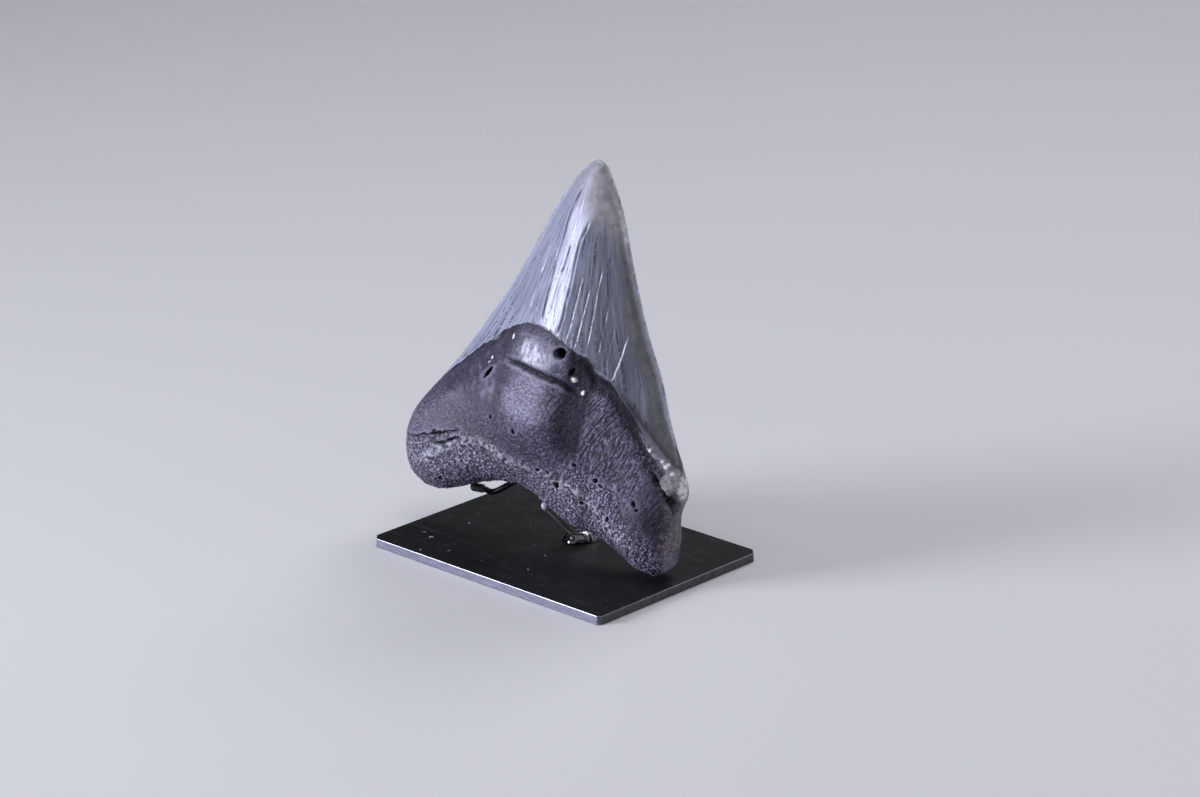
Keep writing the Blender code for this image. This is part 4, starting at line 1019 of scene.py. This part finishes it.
    # painted highlights: the relief's bright spots and lines, the painted sheen on the bourlette and a thin bright line
    # along the cutting edges
    put(ob, "painted_highlight", np.clip(info["painted_highlight"] + bourlette_sheen + 0.60 * blade * info["enamel"] * (0.55 + 1.1 * fbm(V / 0.8, 2, 432)), 0, 1))
    put(ob, "hollow", np.clip(hollow, -1, 1))
    put(ob, "pale", pale)
    put(ob, "warm", warm)
    put(ob, "right_shade_and_tone", right_shade_and_tone)
    put(ob, "olive", np.clip(olive - 0.8 * blade, 0, 1))
    put(ob, "side", side)
    put(ob, "polish_and_sheen", polish_and_sheen)
    put(ob, "darkened", darkened)
    turn = (Matrix.Translation(Vector(TOOTH_ORIGIN) * MM) @ Matrix.Rotation(math.radians(TOOTH_YAW), 4, "Z")
            @ Matrix.Rotation(math.radians(-TOOTH_LEAN), 4, "X") @ Matrix.Rotation(math.radians(TOOTH_ROLL), 4, "Y")
            @ Matrix.Diagonal((MM, MM, MM, 1.0)))
    M = np.array(turn)
    W = V @ M[:3, :3].T + M[:3, 3]
    mesh.vertices.foreach_set("co", W.astype(np.float32).ravel())
    mesh.update()
    for p in mesh.polygons:
        p.use_smooth = True
    mesh.set_sharp_from_angle(angle=math.radians(75))


tooth = build_tooth(340, 460, 195000)
finish_tooth(tooth)
tooth.data.materials.append(fossil_material())
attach(tooth, "root")
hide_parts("tooth")


# =============================================================== the stand's finishes
def steel_plate():
    """Blackened, dusty top; ground long edges painted lighter as the lit side; darker sawn short edges (partly their
    own finish, partly painted shade) with a painted highlight on their arris.
    """
    n = Nodes("plate_steel_finish")
    p = n.coords()
    g = normal_axes(n)
    nz = g[2]
    top = n.ramp(nz, 0.80, 0.96)
    short = n.ramp(n.math("ABSOLUTE", g[0]), 0.55, 0.75)
    cloud = n.noise(p, 34, 5, 0.62)
    smudge = n.noise(p, 95, 5, 0.70, distort=0.6)
    specks = n.noise(p, 620, 2, 0.6)
    flecks = n.noise(p, 240, 2, 0.5)
    hairline = n.noise(p, 420, 2, 0.5, stretch=(0.10, 1.0, 1.0))
    t = n.mix(n.ramp(cloud, 0.36, 0.64), (0.0016, 0.0015, 0.0022), (0.0050, 0.0047, 0.0062))
    t = n.mix(n.math("MULTIPLY", n.ramp(smudge, 0.50, 0.72), 0.75), t, (0.0115, 0.0108, 0.0135))
    t = n.mix(n.math("MULTIPLY", n.ramp(hairline, 0.62, 0.74), 0.30), t, (0.040, 0.039, 0.043))
    t = n.mix(n.math("MULTIPLY", n.ramp(specks, 0.67, 0.74), 0.55), t, (0.12, 0.118, 0.125))
    t = n.mix(n.math("MULTIPLY", n.ramp(flecks, 0.735, 0.765), 0.9), t, (0.34, 0.33, 0.35))
    brush = n.noise(p, 260, 3, 0.6, stretch=(1.0, 1.0, 14.0))
    mill = n.noise(p, 420, 4, 0.65, stretch=(1.0, 1.0, 0.45))
    # painted light: the long sides, which face the light, get a lighter metal colour than the short sides; the streaks
    # are their grinding
    long_side_lit = n.mix(n.ramp(brush, 0.3, 0.7), (0.215, 0.215, 0.285), (0.310, 0.310, 0.400))
    # the short sides: darker, partly their own milled finish and partly painted shade on the sides turned from the
    # light
    dull = n.mix(n.ramp(mill, 0.34, 0.66), (0.085, 0.085, 0.094), (0.135, 0.135, 0.148))
    # painted highlight: a pale line along the short sides' arris
    arris = n.ramp(nz, 0.15, 0.45)
    dull = n.mix(arris, dull, (0.72, 0.72, 0.78))
    long_side_lit = n.mix(arris, long_side_lit, (0.24, 0.24, 0.30))
    s = n.mix(short, long_side_lit, dull)
    c = n.mix(top, s, t)
    n.link(c, n.bsdf.inputs["Base Color"])
    rough = n.mix(top, n.mix(short, n.ramp(brush, 0.3, 0.7, 0.28, 0.42), n.ramp(mill, 0.3, 0.7, 0.34, 0.55)),
                  n.ramp(smudge, 0.3, 0.7, 0.36, 0.60))
    n.link(rough, n.bsdf.inputs["Roughness"])
    n.link(n.ramp(nz, 0.80, 0.96, 1.0, 0.0), n.bsdf.inputs["Metallic"])
    n.bsdf.inputs["Specular IOR Level"].default_value = 0.28
    nb = n.bump(brush, 0.25, 0.00006)
    nb = n.bump(mill, n.math("MULTIPLY", short, 0.5), 0.00015, nb)
    nb = n.bump(specks, 0.25, 0.00005, nb)
    n.link(nb, n.bsdf.inputs["Normal"])
    return n.mat


def steel_rod(name, lo, hi, r0, r1, metal=1.0):
    n = Nodes(name)
    p = n.coords()
    cloud = n.noise(p, 160, 4, 0.6)
    fine = n.noise(p, 1400, 3, 0.6)
    c = n.mix(n.ramp(cloud, 0.35, 0.65), lo, hi)
    n.link(c, n.bsdf.inputs["Base Color"])
    n.link(n.ramp(fine, 0.3, 0.7, r0, r1), n.bsdf.inputs["Roughness"])
    n.bsdf.inputs["Metallic"].default_value = metal
    n.link(n.bump(fine, 0.2, 0.00004), n.bsdf.inputs["Normal"])
    return n.mat


def sleeve(name, lo, hi):
    n = Nodes(name)
    p = n.coords()
    cloud = n.noise(p, 300, 3, 0.6)
    n.link(n.mix(n.ramp(cloud, 0.35, 0.65), lo, hi), n.bsdf.inputs["Base Color"])
    n.link(n.ramp(cloud, 0.3, 0.7, 0.42, 0.60), n.bsdf.inputs["Roughness"])
    n.link(n.bump(n.noise(p, 1500, 2, 0.5), 0.25, 0.00005), n.bsdf.inputs["Normal"])
    return n.mat


def dress(name, mat):
    ob = bpy.data.objects[name]
    for s in ob.material_slots:
        s.material = mat
    return ob


post_steel = steel_rod("post_steel_finish", (0.26, 0.26, 0.27), (0.46, 0.46, 0.48), 0.30, 0.46)
rod = steel_rod("rod_steel_finish", (0.17, 0.17, 0.165), (0.30, 0.30, 0.29), 0.40, 0.58, 0.55)
black_rod = steel_rod("rod_black_finish", (0.018, 0.018, 0.021), (0.045, 0.045, 0.052), 0.32, 0.50)
dress("base_plate", steel_plate())
dress("post", post_steel)
dress("prong_right", rod)
dress("prong_left", black_rod)
dress("tip_left", sleeve("sleeve_black_finish", (0.014, 0.014, 0.016), (0.030, 0.030, 0.034)))
dress("tip_right", sleeve("sleeve_pale_finish", (0.36, 0.34, 0.44), (0.50, 0.48, 0.60)))

# =============================================================== the weld at the foot
LUMPS = [  # x, y, radius, height (mm): beads of metal that ran together
    (0.9, 3.3, 1.55, 2.2), (-2.0, 3.9, 1.5, 2.0), (3.4, 4.6, 2.4, 3.1), (-3.4, 6.6, 1.7, 2.3), (4.0, 7.8, 2.1, 2.4),
    (-0.6, 5.8, 1.7, 2.8), (-2.2, 10.6, 2.2, 2.2), (2.2, 11.0, 2.3, 2.4), (0.0, 12.0, 1.7, 1.8), (1.6, 7.6, 2.6, 3.2),
    (-1.6, 8.6, 2.4, 2.8), (-3.0, 4.9, 1.1, 1.6), (1.9, 2.7, 0.9, 1.3),
]


def weld_height(x, y):
    total = np.zeros_like(x)
    for cx, cy, rad, tall in LUMPS:
        q = ((x - cx) ** 2 + (y - cy) ** 2) / rad ** 2
        total = total + np.exp(9.0 * tall / 3.4 * np.sqrt(np.clip(1 - q, 0, 1)))
    return np.log(total / len(LUMPS) + 1e-9) / 9.0 * 3.4 + 0.9


def make_weld():
    """Smooth lumps inside the CAD bead's outline, closed underneath."""
    rings, sides = 46, 132
    angle = np.linspace(0, 2 * math.pi, sides, endpoint=False)
    outline = 1 + 0.07 * np.sin(3 * angle + 0.6) + 0.05 * np.sin(5 * angle + 1.9) + 0.03 * np.sin(8 * angle)
    t = np.linspace(1, 0, rings, endpoint=False)
    T, A = np.meshgrid(t, np.arange(sides), indexing="ij")
    x = 0.3 + 5.4 * outline[A] * T * np.cos(angle[A])
    y = 7.6 + 6.2 * outline[A] * T * np.sin(angle[A])
    z = np.clip(weld_height(x.ravel(), y.ravel()).reshape(x.shape), 0.0, 3.6)
    skirt = np.sqrt(np.clip(1 - T ** 8, 0, 1))
    p = np.stack([x.ravel(), y.ravel(), x.ravel() * 0], -1)
    z = (0.35 + z + 0.12 * noise(p * 0.9, 501).reshape(x.shape)) * skirt + 3.3
    top = np.array([[0.3, 7.6, 0.0]])
    top[0, 2] = z[-1].mean()
    V = np.vstack([np.stack([x, y, z], -1).reshape(-1, 3), top])
    faces = []
    for i in range(rings - 1):
        for j in range(sides):
            k = (j + 1) % sides
            faces.append((i * sides + j, i * sides + k, (i + 1) * sides + k, (i + 1) * sides + j))
    last = (rings - 1) * sides
    faces += [(last + j, last + (j + 1) % sides, len(V) - 1) for j in range(sides)]
    faces.append(tuple(reversed(range(sides))))
    mesh = bpy.data.meshes.new("weld_lumps")
    mesh.from_pydata((V * MM).tolist(), [], faces)
    mesh.validate()
    ob = bpy.data.objects.new("weld_lumps", mesh)
    scene.collection.objects.link(ob)
    for f in mesh.polygons:
        f.use_smooth = True
    mesh.set_sharp_from_angle(angle=math.radians(60))
    return ob


def weld_finish():
    n = Nodes("weld_metal_finish")
    p = n.coords()
    cloud = n.noise(p, 260, 3, 0.6)
    fine = n.noise(p, 900, 3, 0.6)
    heat = n.noise(p, 120, 3, 0.5)
    left = n.ramp(n.split(p)[0], 0.0024, 0.0004)
    c = n.mix(n.ramp(cloud, 0.35, 0.65), (0.50, 0.50, 0.51), (0.80, 0.81, 0.82))
    c = n.mix(left, c, n.mix(n.ramp(cloud, 0.35, 0.65), (0.045, 0.044, 0.046), (0.16, 0.158, 0.16)))
    c = n.mix(n.math("MULTIPLY", n.ramp(heat, 0.56, 0.72), 0.5), c, (0.05, 0.048, 0.046))
    n.link(c, n.bsdf.inputs["Base Color"])
    n.link(n.ramp(fine, 0.3, 0.7, 0.08, 0.22), n.bsdf.inputs["Roughness"])
    n.bsdf.inputs["Metallic"].default_value = 1.0
    n.link(n.bump(fine, 0.25, 0.00006), n.bsdf.inputs["Normal"])
    return n.mat


weld = make_weld()
weld.data.materials.append(weld_finish())
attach(weld, "root")
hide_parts("weld_bead")

# =============================================================== the pale sleeve's worn, rounded end
def make_sleeve():
    """A short soft tube pulled over the end of the right prong, closed and rounded."""
    start, end = Vector((-3.46, -4.37, 15.82)), Vector((-4.05, -5.72, 17.45))
    axis = (end - start).normalized()
    across_a = axis.cross(Vector((0, 0, 1))).normalized()
    across_b = axis.cross(across_a)
    length = (end - start).length
    radius, sides, verts, faces = 1.32, 40, [], []
    profile = [(0.0, 1.04), (0.0, radius * 0.93), (0.12, radius)]
    profile += [(length - radius * (1 - math.sin(a)), radius * math.cos(a)) for a in np.linspace(0, math.pi / 2 * 0.97, 12)]
    for h, rad in profile:
        for k in range(sides):
            t = 2 * math.pi * k / sides
            bulge = rad * (1 + 0.035 * math.sin(3 * t + 1.0) * (h / length))
            verts.append((start + axis * h + (across_a * math.cos(t) + across_b * math.sin(t)) * bulge) * MM)
    for i in range(len(profile) - 1):
        for k in range(sides):
            j = (k + 1) % sides
            faces.append((i * sides + k, i * sides + j, (i + 1) * sides + j, (i + 1) * sides + k))
    faces.append(tuple(range((len(profile) - 1) * sides, len(profile) * sides)))
    faces.append(tuple(reversed(range(sides))))
    mesh = bpy.data.meshes.new("sleeve_right_worn")
    mesh.from_pydata(verts, [], faces)
    mesh.validate()
    fix = bmesh.new()
    fix.from_mesh(mesh)
    bmesh.ops.recalc_face_normals(fix, faces=fix.faces)
    fix.to_mesh(mesh)
    fix.free()
    ob = bpy.data.objects.new("sleeve_right_worn", mesh)
    scene.collection.objects.link(ob)
    for f in mesh.polygons:
        f.use_smooth = True
    mesh.set_sharp_from_angle(angle=math.radians(60))
    return ob


pale_sleeve = make_sleeve()
pale_sleeve.data.materials.append(sleeve("sleeve_worn_finish", (0.36, 0.34, 0.44), (0.50, 0.48, 0.60)))
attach(pale_sleeve, "root")
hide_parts("tip_right")

# =============================================================== floor, light
floor_mesh = bpy.data.meshes.new("floor")
floor_mesh.from_pydata([(-6, -6, 0), (6, -6, 0), (6, 6, 0), (-6, 6, 0)], [], [(0, 1, 2, 3)])
floor = bpy.data.objects.new("floor", floor_mesh)
scene.collection.objects.link(floor)
n = Nodes("floor_pale")
v = n.coords()
n.link(n.mix(n.noise(v, 3.0, 2, 0.5), (0.60, 0.60, 0.62), (0.63, 0.63, 0.65)), n.bsdf.inputs["Base Color"])
n.bsdf.inputs["Roughness"].default_value = 0.55
floor.data.materials.append(n.mat)

world = scene.world or bpy.data.worlds.new("world")
scene.world = world
world.use_nodes = True
bg = world.node_tree.nodes.get("Background") or world.node_tree.nodes.new("ShaderNodeBackground")
bg.inputs["Color"].default_value = (0.80, 0.81, 0.88, 1.0)
bg.inputs["Strength"].default_value = 0.15


def softbox(name, az, el, dist, size_x, size_y, watts, colour, aim=(0.0, 0.0, 0.06), spread=180):
    """A rectangular light; azimuth is measured from the front (-Y) toward +X, in degrees."""
    a, e = math.radians(az), math.radians(el)
    d = Vector((math.sin(a) * math.cos(e), -math.cos(a) * math.cos(e), math.sin(e)))
    data = bpy.data.lights.new(name, "AREA")
    data.shape, data.size, data.size_y = "RECTANGLE", size_x, size_y
    data.energy, data.color = watts, colour
    data.spread = math.radians(spread)
    ob = bpy.data.objects.new(name, data)
    scene.collection.objects.link(ob)
    ob.location = Vector(aim) + d * dist
    ob.rotation_euler = d.to_track_quat("Z", "Y").to_euler()
    return ob


softbox("key", -32, 15, 1.25, 0.50, 0.66, 7.4, (0.87, 0.90, 1.0), spread=110)
softbox("top", 20, 82, 1.7, 1.5, 1.5, 15.0, (0.94, 0.95, 1.0))
softbox("fill", 100, 35, 1.8, 1.0, 1.0, 0.7, (0.92, 0.94, 1.0))
softbox("rim", 188, 42, 1.6, 0.9, 0.6, 3.6, (0.95, 0.96, 1.0), spread=120)

scene.view_settings.view_transform = "Standard"

# =============================================================== the end
bpy.context.view_layer.update()
